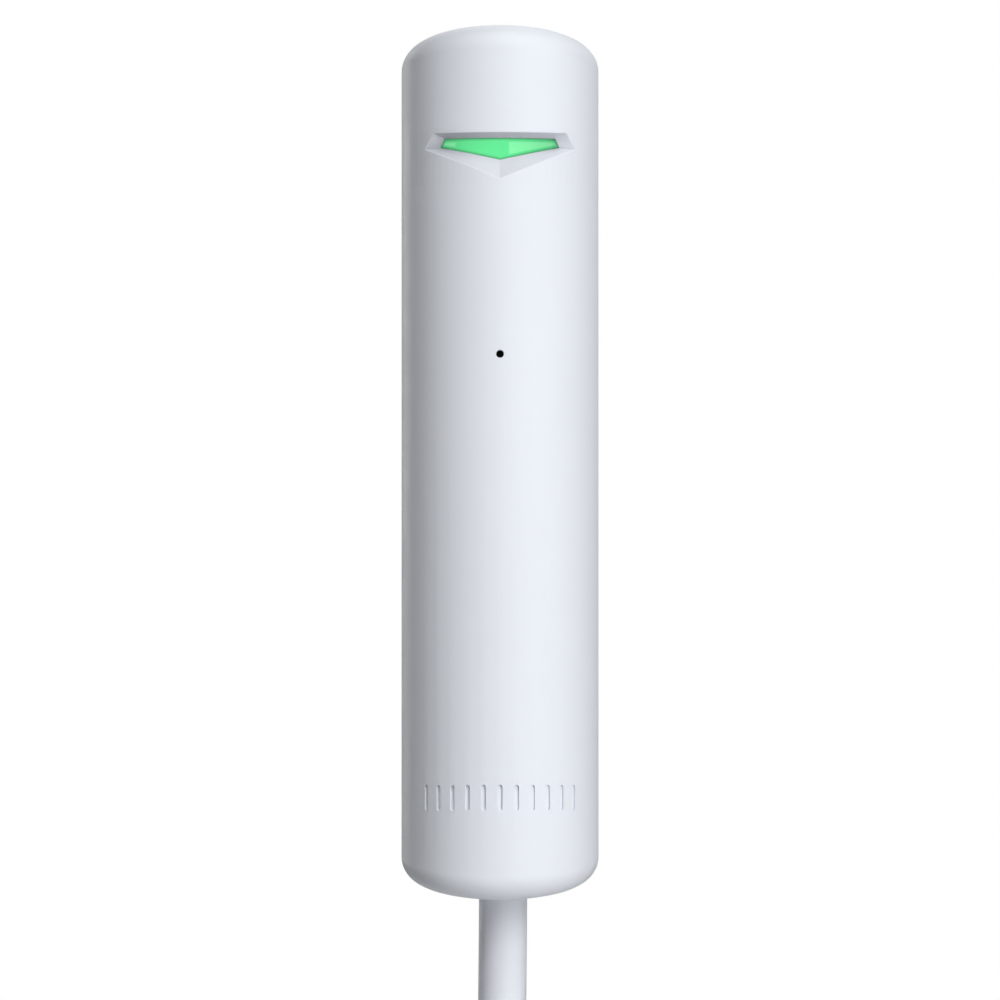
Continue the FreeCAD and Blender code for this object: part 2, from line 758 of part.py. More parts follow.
def rear_cover():
    cover_room = block("CoverRoom", ALL_ACROSS, ("back_face", "seam_depth - seam_gap"), ALL_UP)
    deep_room = block("DeepRoom", ALL_ACROSS, ("cover_inside", SPAN), ALL_UP)
    blank = common("CoverBlank", outer_form, cover_room)
    shell = cut("CoverShell", blank, common("CoverSpace", inner_form, deep_room))
    lip_depths = ("seam_depth - lip_root", "seam_depth + lip_length")
    lip_room = block("LipRoom", ALL_ACROSS, lip_depths, ("board_bottom", "board_top"))
    lip_ring = ring("LipRing", "lip_outside - lip_thickness", "inner_radius + join_depth")
    past_seam = block("PastSeam", ALL_ACROSS, ("seam_depth - seam_gap", SPAN), ALL_UP)
    step = common("LipStep", ring("StepRing", "lip_outside", SPAN), past_seam)
    lip = cut("CoverLip", common("LipBlank", lip_ring, lip_room), step)
    pieces = [shell, lip]
    inside = "cover_inside - join_depth"
    for x, z in SCREW_PLACES:
        pieces.append(rod("CoverPost", x, z, inside, "seam_depth - seam_gap", "boss_radius"))
    for row in ("upper_clamp", "lower_clamp"):
        for side in SIDES:
            x = f"{side} * clamp_side"
            pieces.append(rod("BoardClamp", x, row, inside, "board_depth - fit_gap", "clamp_radius"))
    through = (f"back_face - {MARGIN}", f"cover_inside + {MARGIN}")
    tools = [cable_hole("CoverCableHole")]
    for row in HOOK_ROWS:
        for side in SIDES:
            half = "(hook_width / 2 + hook_play)"
            x = (f"{side} * hook_spacing / 2 - {half}", f"{side} * hook_spacing / 2 + {half}")
            z = (f"{row} - slide_travel - hook_run_on", f"{row} + hook_stem + hook_rest_gap")
            tools.append(block("HookSlot", x, through, z))
    half = "(terminal_width / 2 + access_margin)"
    z = ("terminal_row - access_half_height", "terminal_row + access_half_height")
    tools.append(block("TerminalAccess", (f"-{half}", half), through, z))
    tools.append(rod("PlungerHole", 0, "tamper_height", *through, "plunger_radius + plunger_side_gap"))
    for x, z in SCREW_PLACES:
        sunk = "back_face + screw_sink"
        tools.append(rod("HeadSink", x, z, f"back_face - {MARGIN}", sunk, "screw_head_radius + fit_gap"))
        tools.append(rod("ScrewHole", x, z, "back_face", "seam_depth", "screw_radius + screw_gap"))
    sub_part(cut("RearCover", fuse("CoverSolid", *pieces), *tools), "rear_cover")


def cover_screws():
    screws = []
    for x, z in SCREW_PLACES:
        top = "back_face + screw_sink - screw_head_height"
        sunk = "back_face + screw_sink"
        head = rod("ScrewHead", x, z, top, sunk, "screw_head_radius")
        shank = rod("ScrewShank", x, z, sunk, f"{sunk} + screw_length", "screw_radius")
        arms = []
        long, short = "cross_half_length", "cross_half_width"
        for across, up in ((long, short), (short, long)):
            sides = (f"{x} - {across}", f"{x} + {across}")
            depths = (f"{top} - {MARGIN}", f"{top} + cross_depth")
            arms.append(block("CrossArm", sides, depths, (f"{z} - {up}", f"{z} + {up}")))
        screws.append(cut("CoverScrew", fuse("ScrewSolid", head, shank), *arms))
    sub_part(group("CoverScrews", *screws), "cover_screws")


# Wall bracket: a plate with the column's own curve on its edges, four hooks and a break-out tab


def mounting_plate():
    slab_depths = (0, "plate_thickness")
    curve = upright("PlateCurve", 0, "axis_depth", -SPAN, SPAN, "housing_radius")
    inside = "plate_half_width - plate_corner"
    straight = "plate_half - plate_corner"
    outline = [
        block("PlateMiddle", ALL_ACROSS, slab_depths, (f"-({straight})", straight)),
        block("PlateEnds", (f"-({inside})", inside), slab_depths, ("-plate_half", "plate_half")),
    ]
    for side in SIDES:
        for end in SIDES:
            x, z = f"{side} * ({inside} + fit_gap)", f"{end} * ({straight})"
            outline.append(rod("PlateCorner", x, z, *slab_depths, "plate_corner"))
    plate = common("PlateBlank", fuse("PlateOutline", *outline), curve)
    pieces = [plate]
    for row in HOOK_ROWS:
        for side in SIDES:
            x = (f"{side} * hook_spacing / 2 - hook_width / 2", f"{side} * hook_spacing / 2 + hook_width / 2")
            stem = (row, f"{row} + hook_stem")
            pieces.append(block("HookStem", x, ("plate_thickness - join_depth", "hook_reach"), stem))
            lip = ("hook_reach - hook_lip_thickness", "hook_reach")
            pieces.append(block("HookLip", x, lip, (row, f"{row} + hook_lip")))
    through = (-MARGIN, f"plate_thickness + {MARGIN}")
    tools = []
    tab_hole = "tab_middle + tab_hole_rise"
    for z, name in (("wall_screw_height", "Top"), ("-wall_screw_height", "Low"), (tab_hole, "Tab")):
        tools.append(rod(name + "ScrewHole", 0, z, *through, "wall_screw_radius"))
        cone = "plate_thickness - (wall_screw_head - wall_screw_radius)"
        wide = "wall_screw_head + fit_gap"
        far = "plate_thickness + fit_gap"
        tools.append(sink(name + "ScrewSink", 0, z, cone, far, "wall_screw_radius", wide))
    low, high = "tab_middle - tab_length / 2", "tab_middle + tab_length / 2"
    for side in SIDES:
        edges = one_side(side, "tab_width / 2", "tab_width / 2 + tab_slot")
        tools.append(block("TabSideSlot", edges, through, (low, high)))
        ends = one_side(side, "tab_bridge / 2", "tab_width / 2 + tab_slot")
        tools.append(block("TabTopSlot", ends, through, (f"{high} - tab_slot", high)))
        tools.append(block("TabLowSlot", ends, through, (low, f"{low} + tab_slot")))
    sub_part(cut("MountingPlate", fuse("PlateSolid", *pieces), *tools), "mounting_plate")


# Light guide and status lights


def light_guide():
    flange_face = "inner_radius - fit_gap"
    flange_back = f"{flange_face} - flange_thickness"
    lens_ring = ring("LensRing", flange_back, "lens_radius")
    plug = common("LensPlug", lens_prism("LensPrism", "lens_gap"), lens_ring)
    lens = rounded("LensEdge", plug, "lens_round", lambda edge: on_round(edge, "lens_radius"))
    sides = ("-flange_half", "flange_half")
    rows = ("flange_bottom", "flange_top")
    slab = block("FlangeSlab", sides, ("board_front + flange_back_gap", SPAN), rows)
    flange = common("LensFlange", slab, ring("FlangeRing", flange_back, flange_face))
    light_gap = "board_front + led_thickness + led_gap"
    stem_sides = ("-stem_half_width", "stem_half_width")
    bar = block("StemBar", stem_sides, (light_gap, SPAN), ("stem_bottom", "lens_top"))
    room = upright("StemRoom", 0, "axis_depth", -SPAN, SPAN, f"{flange_face} - flange_thickness / 2")
    sub_part(fuse("LightGuide", lens, flange, common("LightStem", bar, room)), "light_guide")


def status_leds():
    leds = []
    for step in (-1, 0, 1):
        x = (f"{step} * led_spacing - led_width / 2", f"{step} * led_spacing + led_width / 2")
        z = ("led_row - led_height / 2", "led_row + led_height / 2")
        leds.append(block("StatusLed", x, ("board_front", "board_front + led_thickness"), z))
    sub_part(group("StatusLeds", *leds), "status_leds")


# Microphone


def microphone():
    z = "sound_hole_height"
    can = rod("MicCan", 0, z, "mic_back", "mic_front", "mic_radius")
    lead_end = "board_depth - mic_lead_stand_out"
    leads = [
        rod("MicLead", f"{side} * mic_lead_spacing / 2", z, lead_end, "mic_back + fit_gap", "mic_lead_radius")
        for side in SIDES
    ]
    sub_part(fuse("MicCapsule", can, *leads), "mic_capsule")
    rubber = rod("BootRubber", 0, z, "board_front", "boot_front", "boot_radius")
    room = rod("BootRoom", 0, z, f"board_front - {MARGIN}", "mic_front", "mic_radius + mic_gap")
    port = rod("BootPort", 0, z, "board_front", f"boot_front + {MARGIN}", "boot_port_radius")
    sub_part(cut("MicBoot", rubber, room, port), "mic_boot")
    sub_part(rod("MicMesh", 0, z, "boot_front", "seat_depth", "mesh_radius"), "mic_mesh")


# Circuit board and the small parts soldered to it


def main_board():
    body = doc.addObject("PartDesign::Body", "MainBoard")
    sketch = new_sketch(body, "BoardOutline", "XZ_Plane")
    bind(sketch, **{".AttachmentOffset.Base.z": "board_depth"})
    inside = "board_half - board_corner"
    corners = [
        ("board_half", "board_bottom + board_corner"),
        ("board_half", "board_top - board_corner"),
        (inside, "board_top"),
        (f"-({inside})", "board_top"),
        ("-board_half", "board_top - board_corner"),
        ("-board_half", "board_bottom + board_corner"),
        (f"-({inside})", "board_bottom"),
        (inside, "board_bottom"),
    ]
    draw_outline(sketch, corners)
    for row in POST_ROWS:
        draw_circle(sketch, 0, row, "peg_radius + hole_gap")
    for side in SIDES:
        across = f"{side} * mic_lead_spacing / 2"
        draw_circle(sketch, across, "sound_hole_height", "mic_lead_radius + hole_gap")
    for step in TERMINAL_STEPS:
        draw_circle(sketch, f"{step} * terminal_pitch", "terminal_row", "pin_width / sqrt(2) + hole_gap")
    pad(body, "BoardSlab", sketch, "board_thickness")
    sub_part(body, "main_board")


def chip_block(name, across, up, width, height, near, far):
    sides = (f"{across} - {width} / 2", f"{across} + {width} / 2")
    return block(name, sides, (near, far), (f"{up} - {height} / 2", f"{up} + {height} / 2"))


def board_parts():
    for part in FRONT_PARTS:
        far = f"board_front + {part}_thickness"
        words = [f"{part}_{word}" for word in ("across", "up", "width", "height")]
        sub_part(chip_block(part.title(), *words, "board_front", far), part)
    for part in BACK_PARTS:
        near = f"board_depth - {part}_thickness"
        words = [f"{part}_{word}" for word in ("up", "width", "height")]
        pair = [
            chip_block(part.title(), f"{side} * {part}_across", *words, near, "board_depth") for side in SIDES
        ]
        sub_part(group(part.title() + "Pair", *pair), part)
    for part in LEADED_PARTS:
        words = [f"{part}_{word}" for word in ("across", "up", "width", "height")]
        lift = f"board_front + {LEAD_THICKNESS} / 2"
        pieces = [chip_block(part.title(), *words, lift, f"board_front + {part}_thickness")]
        for side in SIDES:
            for step in range(LEADS_A_SIDE):
                across = f"{part}_across + {side} * ({part}_width / 2 + {LEAD_LENGTH} / 2 - {LEAD_ROOT})"
                up = f"{part}_up + {(step - (LEADS_A_SIDE - 1) / 2) * LEAD_PITCH}"
                far = f"board_front + {LEAD_THICKNESS}"
                pieces.append(chip_block("ChipLead", across, up, LEAD_LENGTH, LEAD_WIDTH, "board_front", far))
        sub_part(fuse(part.title() + "Solid", *pieces), part)
    far = "board_front + chip_thickness"
    chip_sides = ("chip_width", "chip_height")
    for part, rows in CHIP_ROWS.items():
        chips = []
        for steps, up in rows:
            for step in steps:
                place_on_board = (f"{step} * (part_side - chip_width / 2)", up)
                chips.append(chip_block(part.title(), *place_on_board, *chip_sides, "board_front", far))
        sub_part(group(part.title() + "Row", *chips), part)


# Terminal block


def terminal_block():
    rows = ("terminal_bottom", "terminal_top")
    sides = ("-terminal_width / 2", "terminal_width / 2")
    solid = block("TerminalSolid", sides, ("terminal_face", "board_depth"), rows)
    tools = []
    screws = []
    pins = []
    for step in TERMINAL_STEPS:
        x = f"{step} * terminal_pitch"
        well = "terminal_face + terminal_well_depth"
        near = f"terminal_face - {MARGIN}"
        tools.append(rod("ScrewWell", x, "terminal_row", near, well, "terminal_well_radius"))
        top = "terminal_bottom + entry_length"
        low = f"terminal_bottom - {MARGIN}"
        tools.append(upright("WireEntry", x, "entry_depth", low, top, "entry_radius"))
        head = f"{well} - terminal_screw_length"
        screw = rod("TerminalScrew", x, "terminal_row", head, well, "terminal_screw_radius")
        reach = (f"{x} - terminal_screw_radius", f"{x} + terminal_screw_radius")
        half = "terminal_slot_width / 2"
        slot_depth = (f"{head} - {MARGIN}", f"{head} + terminal_slot_depth")
        slot = block("DriverSlot", reach, slot_depth, (f"terminal_row - {half}", f"terminal_row + {half}"))
        screws.append(cut("SlottedScrew", screw, slot))
        pin_end = "board_front + pin_stand_out"
        square = ("pin_width", "pin_width")
        pins.append(chip_block("TerminalPin", x, "terminal_row", *square, "board_depth", pin_end))
    sub_part(cut("TerminalBlock", solid, *tools), "terminal_block")
    sub_part(group("TerminalScrews", *screws), "terminal_screws")
    sub_part(group("TerminalPins", *pins), "terminal_pins")


# Tamper switch: the plunger rests on the bracket's tab


def tamper_switch():
    half = "switch_width / 2"
    rows = (f"tamper_height - {half}", f"tamper_height + {half}")
    case = block("SwitchCase", (f"-{half}", half), ("switch_face", "board_depth"), rows)
    well_end = "switch_face + switch_well_depth"
    room = "switch_stem_radius + fit_gap"
    well = rod("SwitchWell", 0, "tamper_height", f"switch_face - {MARGIN}", well_end, room)
    sub_part(cut("TamperSwitch", case, well), "tamper_switch")
    stem_end = "plunger_end + switch_stem_length"
    stem = rod("SwitchStem", 0, "tamper_height", "plunger_end", stem_end, "switch_stem_radius")
    sub_part(stem, "switch_stem")
    pin = rod("PlungerPin", 0, "tamper_height", "plunger_tip", "plunger_end", "plunger_radius")
    near = "cover_inside + plunger_collar_gap"
    far = f"{near} + plunger_collar_thickness"
    collar = rod("PlungerCollar", 0, "tamper_height", near, far, "plunger_collar_radius")
    sub_part(fuse("TamperPlunger", pin, collar), "tamper_plunger")


# Cable, its cores, the tie inside the housing and the hank

BEND_SHARE = 0.45
CORES = {
    "core_red": (-1, 1, -1.5),
    "core_black": (-1, -1, -0.5),
    "core_green": (1, -1, 0.5),
    "core_white": (1, 1, 1.5),
}


def bent_tube(name, points, radius):
    """A tube of straight runs and arcs, each arc taking up the same share of its shorter run."""
    points = [FreeCAD.Vector(*point) for point in points]
    edges = []
    start = points[0]
    for before, corner, after in zip(points, points[1:], points[2:]):
        back = (before - corner).normalize()
        ahead = (after - corner).normalize()
        half_turn = (math.pi - back.getAngle(ahead)) / 2
        shorter = min(before.distanceToPoint(corner), after.distanceToPoint(corner))
        bend = BEND_SHARE * shorter / math.tan(half_turn)
        reach = bend * math.tan(half_turn)
        first, last = corner + back * reach, corner + ahead * reach
        centre = corner + (back + ahead).normalize() * (bend / math.cos(half_turn))
        middle = centre + (corner - centre).normalize() * bend
        edges += [Part.LineSegment(start, first).toShape(), Part.Arc(first, middle, last).toShape()]
        start = last
        print(f"{name}: bend radius {bend:.2f} mm")
    edges.append(Part.LineSegment(start, points[-1]).toShape())
    path = Part.Wire(edges)
    section = Part.Wire(Part.makeCircle(radius, points[0], points[1] - points[0]))
    tube = path.makePipeShell([section], True, True)
    expected = math.pi * radius**2 * path.Length
    print(f"{name}: volume {tube.Volume:.3f} mm3, section times length {expected:.3f} mm3")
    return tube


def inner_cores():
    """The four cores spread from the sheath's end to the terminal's entries."""
    for label, (side, back, step) in CORES.items():
        x = size("cable_offset") + side * size("core_offset")
        y = -size("cable_depth") + back * size("core_offset")
        entry = step * size("terminal_pitch")
        points = [
            (x, y, size("sheath_top")),
            (x, y, size("sheath_top") + size("core_rise")),
            (entry, -size("entry_depth"), size("terminal_bottom") - size("core_rise")),
            (entry, -size("entry_depth"), size("terminal_bottom") + size("core_entry")),
        ]
        item = doc.addObject("Part::Feature", label.title())
        item.Shape = bent_tube(label, points, size("core_radius"))
        sub_part(item, label)


def tail_cores():
    """The stripped end of the cable: four cores that fan out a little, each with a bare copper tip."""
    tips = []
    end = size("hank_bottom") - size("tail_length")
    for label, (side, back, step) in CORES.items():
        x = size("cable_offset") + side * size("core_offset")
        y = -size("cable_depth") + back * size("core_offset")
        spread = size("core_spread")
        bottom = end - size("bare_core_length")
        points = [
            (x, y, end),
            (x, y, end - size("core_straight")),
            (x + side * spread, y + back * spread, bottom),
        ]
        item = doc.addObject("Part::Feature", label.title() + "Tail")
        item.Shape = bent_tube(label + " tail", points, size("core_radius"))
        sub_part(item, label.replace("core", "tail_core"))
        start, stop = FreeCAD.Vector(*points[1]), FreeCAD.Vector(*points[2])
        tip = doc.addObject("Part::Feature", label.title() + "Tip")
        tip.Shape = Part.makeCylinder(size("copper_radius"), size("copper_length"), stop, stop - start)
        tips.append(tip)
    sub_part(group("CopperTips", *tips), "copper_tips")


def cable():
    axis = ("cable_offset", "cable_depth")
    sheath = upright("CableSheath", *axis, "hank_top", "sheath_top", "cable_radius")
    sub_part(sheath, "cable_sheath")
    end = "hank_bottom - tail_length"
    sub_part(upright("CableTail", *axis, end, "hank_bottom", "cable_radius"), "cable_tail")
    top = "tie_bottom + tie_height"
    outside = upright("TieBand", *axis, "tie_bottom", top, "cable_radius + tie_gap + tie_thickness")
    low, high = f"tie_bottom - {MARGIN}", f"{top} + {MARGIN}"
    inside = upright("TieRoom", *axis, low, high, "cable_radius + tie_gap")
    near = "cable_depth + cable_radius + tie_gap + tie_head_set"
    sides = ("cable_offset - tie_head / 2", "cable_offset + tie_head / 2")
    head = block("TieHead", sides, (near, f"{near} + tie_head"), ("tie_bottom", top))
    sub_part(cut("CableTie", fuse("TieSolid", outside, head), inside), "cable_tie")


def cable_hank():
    """The hank's outer form: two round lobes and a waist, drawn in by the tie."""
    depths = ("hank_back", "hank_front")
    lobes = [
        rod("HankLobe", 0, f"waist_height + {side} * lobe_offset", *depths, "lobe_radius") for side in SIDES
    ]
    neck_half = "notch_side * neck_share"
    neck_rise = "lobe_offset * (1 - neck_share)"
    rows = (f"waist_height - {neck_rise}", f"waist_height + {neck_rise}")
    neck = block("HankNeck", (f"-{neck_half}", neck_half), depths, rows)
    through = (f"hank_back - {MARGIN}", f"hank_front + {MARGIN}")
    notches = [
        rod("HankNotch", f"{side} * notch_side", "waist_height", *through, "notch_radius") for side in SIDES
    ]
    solid = fuse("HankSolid", *lobes, cut("HankWaist", neck, *notches))
    doc.recompute()
    bevelled = doc.addObject("Part::Chamfer", "HankBevel")
    bevelled.Base = solid
    rims = [number for number, edge in enumerate(solid.Shape.Edges, 1) if edge.BoundBox.YLength < FLAT]
    bevelled.Edges = [(number, size("hank_edge"), size("hank_edge")) for number in rims]
    above = block("AboveHank", ALL_ACROSS, (-SPAN, SPAN), ("hank_top", f"hank_top + {MARGIN}"))
    below = block("BelowHank", ALL_ACROSS, (-SPAN, SPAN), (f"hank_bottom - {MARGIN}", "hank_bottom"))
    sub_part(cut("CableHank", bevelled, above, below), "cable_hank")
    wide = "(tie_half + hank_tie_thickness)"
    band = "(hank_tie_gap + hank_tie_thickness)"
    rows = ("waist_height - hank_tie_height / 2", "waist_height + hank_tie_height / 2")
    outside = block("HankTieBand", (f"-{wide}", wide), (f"hank_back - {band}", f"hank_front + {band}"), rows)
    near = ("hank_back - hank_tie_gap", "hank_front + hank_tie_gap")
    past = (f"{rows[0]} - {MARGIN}", f"{rows[1]} + {MARGIN}")
    inside = block("HankTieRoom", ("-tie_half", "tie_half"), near, past)
    sub_part(cut("HankTie", outside, inside), "hank_tie")


mounting_plate()
front_housing()
rear_cover()
cover_screws()
light_guide()
status_leds()
microphone()
main_board()
board_parts()
terminal_block()
tamper_switch()
cable()
inner_cores()
cable_hank()
tail_cores()
doc.recompute()

failed = [item.Name for item in doc.Objects if {"Invalid", "Error"} & set(item.State)]
failed += [item.Label for item in sub_parts if item.Shape.isNull() or not item.Shape.isValid()]
if failed:
    raise RuntimeError(f"not built: {failed}")
for item in sub_parts:
    item.Shape.exportStep(f"parts/{item.Label}.step")
    print(f"{item.Label}: {len(item.Shape.Solids)} solids, {item.Shape.Volume:.2f} mm3")
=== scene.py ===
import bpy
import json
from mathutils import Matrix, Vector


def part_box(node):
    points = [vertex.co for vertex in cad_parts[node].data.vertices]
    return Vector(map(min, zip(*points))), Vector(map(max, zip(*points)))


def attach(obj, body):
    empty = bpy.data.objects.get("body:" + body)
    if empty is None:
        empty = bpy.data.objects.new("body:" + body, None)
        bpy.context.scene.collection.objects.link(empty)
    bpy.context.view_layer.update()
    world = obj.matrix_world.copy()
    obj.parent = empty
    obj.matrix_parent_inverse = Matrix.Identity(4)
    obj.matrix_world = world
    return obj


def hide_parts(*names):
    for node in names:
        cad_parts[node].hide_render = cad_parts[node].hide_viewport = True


bl_info = {
    "name": "Glass Break Sensor",
    "version": (1, 0, 0),
    "blender": (4, 5, 0),
    "location": "View3D > Sidebar > Sensor",
    "description": "Dresses a wired glass break sensor: finishes, lit window, cable in a hank and studio",
    "category": "Add Mesh",
}

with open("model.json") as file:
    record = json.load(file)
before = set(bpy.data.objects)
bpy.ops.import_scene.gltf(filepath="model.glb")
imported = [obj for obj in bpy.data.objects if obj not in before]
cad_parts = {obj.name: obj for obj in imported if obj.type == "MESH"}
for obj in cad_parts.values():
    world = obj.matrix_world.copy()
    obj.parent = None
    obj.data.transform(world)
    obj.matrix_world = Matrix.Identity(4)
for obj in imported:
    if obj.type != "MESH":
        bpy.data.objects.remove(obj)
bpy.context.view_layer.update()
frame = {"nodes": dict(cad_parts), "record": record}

import json
import math
import random

import bpy
from mathutils import Vector

MM = 0.001

# The sensor's axis, and where the cable runs in it
COLUMN_AXIS_Y = -7.5 * MM
COLUMN_RADIUS = 10.0 * MM
CABLE_X = 0.335 * MM
CABLE_Y = -7.0 * MM
CABLE_START_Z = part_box("cable_sheath")[1].z
HANK_TOP_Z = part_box("cable_hank")[1].z
HANK_BOTTOM_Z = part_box("cable_hank")[0].z
WAIST_Z = (HANK_TOP_Z + HANK_BOTTOM_Z) / 2
TAIL_END_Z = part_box("cable_tail")[0].z


# Properties


class HousingSettings(bpy.types.PropertyGroup):
    """The moulded housing and its wall bracket."""

    colour: bpy.props.FloatVectorProperty(
        name="Housing colour",
        description="Colour of the column and its rear cover",
        subtype="COLOR",
        size=3,
        min=0.0,
        max=1.0,
        default=(0.775, 0.805, 0.86),
    )
    bracket_colour: bpy.props.FloatVectorProperty(
        name="Bracket colour",
        description="Colour of the wall bracket",
        subtype="COLOR",
        size=3,
        min=0.0,
        max=1.0,
        default=(0.76, 0.785, 0.82),
    )
    grain: bpy.props.FloatProperty(
        name="Mould grain",
        description="Size of the fine grain that the mould leaves",
        unit="LENGTH",
        min=0.02 * MM,
        default=0.11 * MM,
    )
    shine: bpy.props.FloatProperty(
        name="Roughness",
        description="Roughness of the satin plastic",
        subtype="FACTOR",
        min=0.0,
        max=1.0,
        default=0.42,
    )
    recess_shine: bpy.props.FloatProperty(
        name="Recess roughness",
        description="Roughness of the polished faces round the window",
        subtype="FACTOR",
        min=0.0,
        max=1.0,
        default=0.06,
    )


class WindowSettings(bpy.types.PropertyGroup):
    """The lit window."""

    colour: bpy.props.FloatVectorProperty(
        name="Light colour",
        description="Colour that the lit window shows at its middle",
        subtype="COLOR",
        size=3,
        min=0.0,
        max=1.0,
        default=(0.107, 0.60, 0.229),
    )
    body_colour: bpy.props.FloatVectorProperty(
        name="Lens colour",
        description="Colour of the lens itself",
        subtype="COLOR",
        size=3,
        min=0.0,
        max=1.0,
        default=(0.03, 0.30, 0.10),
    )
    # Width of the painted shade along the lens's outline, which stands in for its rounded edge
    edge_width: bpy.props.FloatProperty(
        name="Edge fade",
        description="Width along the outline over which the light fades",
        unit="LENGTH",
        min=0.05 * MM,
        default=0.35 * MM,
    )
    end_level: bpy.props.FloatProperty(
        name="End level",
        description="Brightness of the window's right end against its middle",
        subtype="FACTOR",
        min=0.0,
        max=1.0,
        default=0.5,
    )


class CableSettings(bpy.types.PropertyGroup):
    """The cable and the hank that its spare length is put away in."""

    diameter: bpy.props.FloatProperty(
        name="Diameter",
        description="Outside diameter of the sheath",
        unit="LENGTH",
        min=1.0 * MM,
        default=4.9 * MM,
    )
    length: bpy.props.FloatProperty(
        name="Length",
        description="Real length of the cable, in its hank and out of it",
        unit="LENGTH",
        min=0.1,
        default=1.5,
    )
    fold_radius: bpy.props.FloatProperty(
        name="Inner fold",
        description="Radius of the innermost fold's centre line",
        unit="LENGTH",
        min=5.0 * MM,
        default=14.85 * MM,
    )
    lobe_rise: bpy.props.FloatProperty(
        name="Lobe distance",
        description="Distance from the hank's waist to the middle of a lobe",
        unit="LENGTH",
        min=10.0 * MM,
        default=30.0 * MM,
    )
    colour: bpy.props.FloatVectorProperty(
        name="Sheath colour",
        description="Colour of the sheath",
        subtype="COLOR",
        size=3,
        min=0.0,
        max=1.0,
        default=(0.80, 0.827, 0.88),
    )


class StrapSettings(bpy.types.PropertyGroup):
    """The strap round the hank's waist."""

    width: bpy.props.FloatProperty(
        name="Width",
        description="Width of the strap",
        unit="LENGTH",
        min=2.0 * MM,
        default=9.0 * MM,
    )
    thickness: bpy.props.FloatProperty(
        name="Thickness",
        description="Thickness of one layer of the strap",
        unit="LENGTH",
        min=0.3 * MM,
        default=0.75 * MM,
    )
    overlap: bpy.props.FloatProperty(
        name="Overlap",
        description="Length over which the strap closes on itself",
        unit="LENGTH",
        min=2.0 * MM,
        default=19.0 * MM,
    )
    colour: bpy.props.FloatVectorProperty(
        name="Colour",
        description="Colour of the strap's loops",
        subtype="COLOR",
        size=3,
        min=0.0,
        max=1.0,
        default=(0.07, 0.07, 0.078),
    )


class StrandSettings(bpy.types.PropertyGroup):
    """The twisted copper strands at the cable's stripped end."""

    count: bpy.props.IntProperty(
        name="Outer strands",
        description="Number of strands laid round the middle one",
        min=3,
        default=6,
    )
    radius: bpy.props.FloatProperty(
        name="Strand radius",
        description="Radius of one strand",
        unit="LENGTH",
        min=0.02 * MM,
        default=0.1 * MM,
    )
    length: bpy.props.FloatProperty(
        name="Bare length",
        description="Length of bare copper on each core",
        unit="LENGTH",
        min=1.0 * MM,
        default=5.0 * MM,
    )
    twist: bpy.props.FloatProperty(
        name="Twist",
        description="Turn of the strands over the bare length",
        subtype="ANGLE",
        default=math.radians(400),
    )


class StageSettings(bpy.types.PropertyGroup):
    """Floor, lamps and camera."""

    floor_height: bpy.props.FloatProperty(
        name="Floor height",
        description="Height of the floor below the middle of the column",
        unit="LENGTH",
        default=-235.0 * MM,
    )
    camera_distance: bpy.props.FloatProperty(
        name="Camera distance",
        description="Distance from the camera to the column's axis",
        unit="LENGTH",
        default=1.4,
    )
    camera_tilt: bpy.props.FloatProperty(
        name="Camera tilt",
        description="Angle at which the camera looks upwards",
        subtype="ANGLE",
        default=math.radians(1.5),
    )
    frame_width: bpy.props.FloatProperty(
        name="Frame width",
        description="Width that the picture takes in at the column",
        unit="LENGTH",
        default=101.57 * MM,
    )
    lamp_level: bpy.props.FloatProperty(
        name="Lamp level",
        description="Factor on the power of every lamp",
        min=0.0,
        default=1.0,
    )
    reflected: bpy.props.FloatProperty(
        name="Reflected backdrop",
        description="Brightness of the backdrop as reflections show it",
        subtype="FACTOR",
        min=0.0,
        max=1.0,
        default=0.3,
    )


# Materials


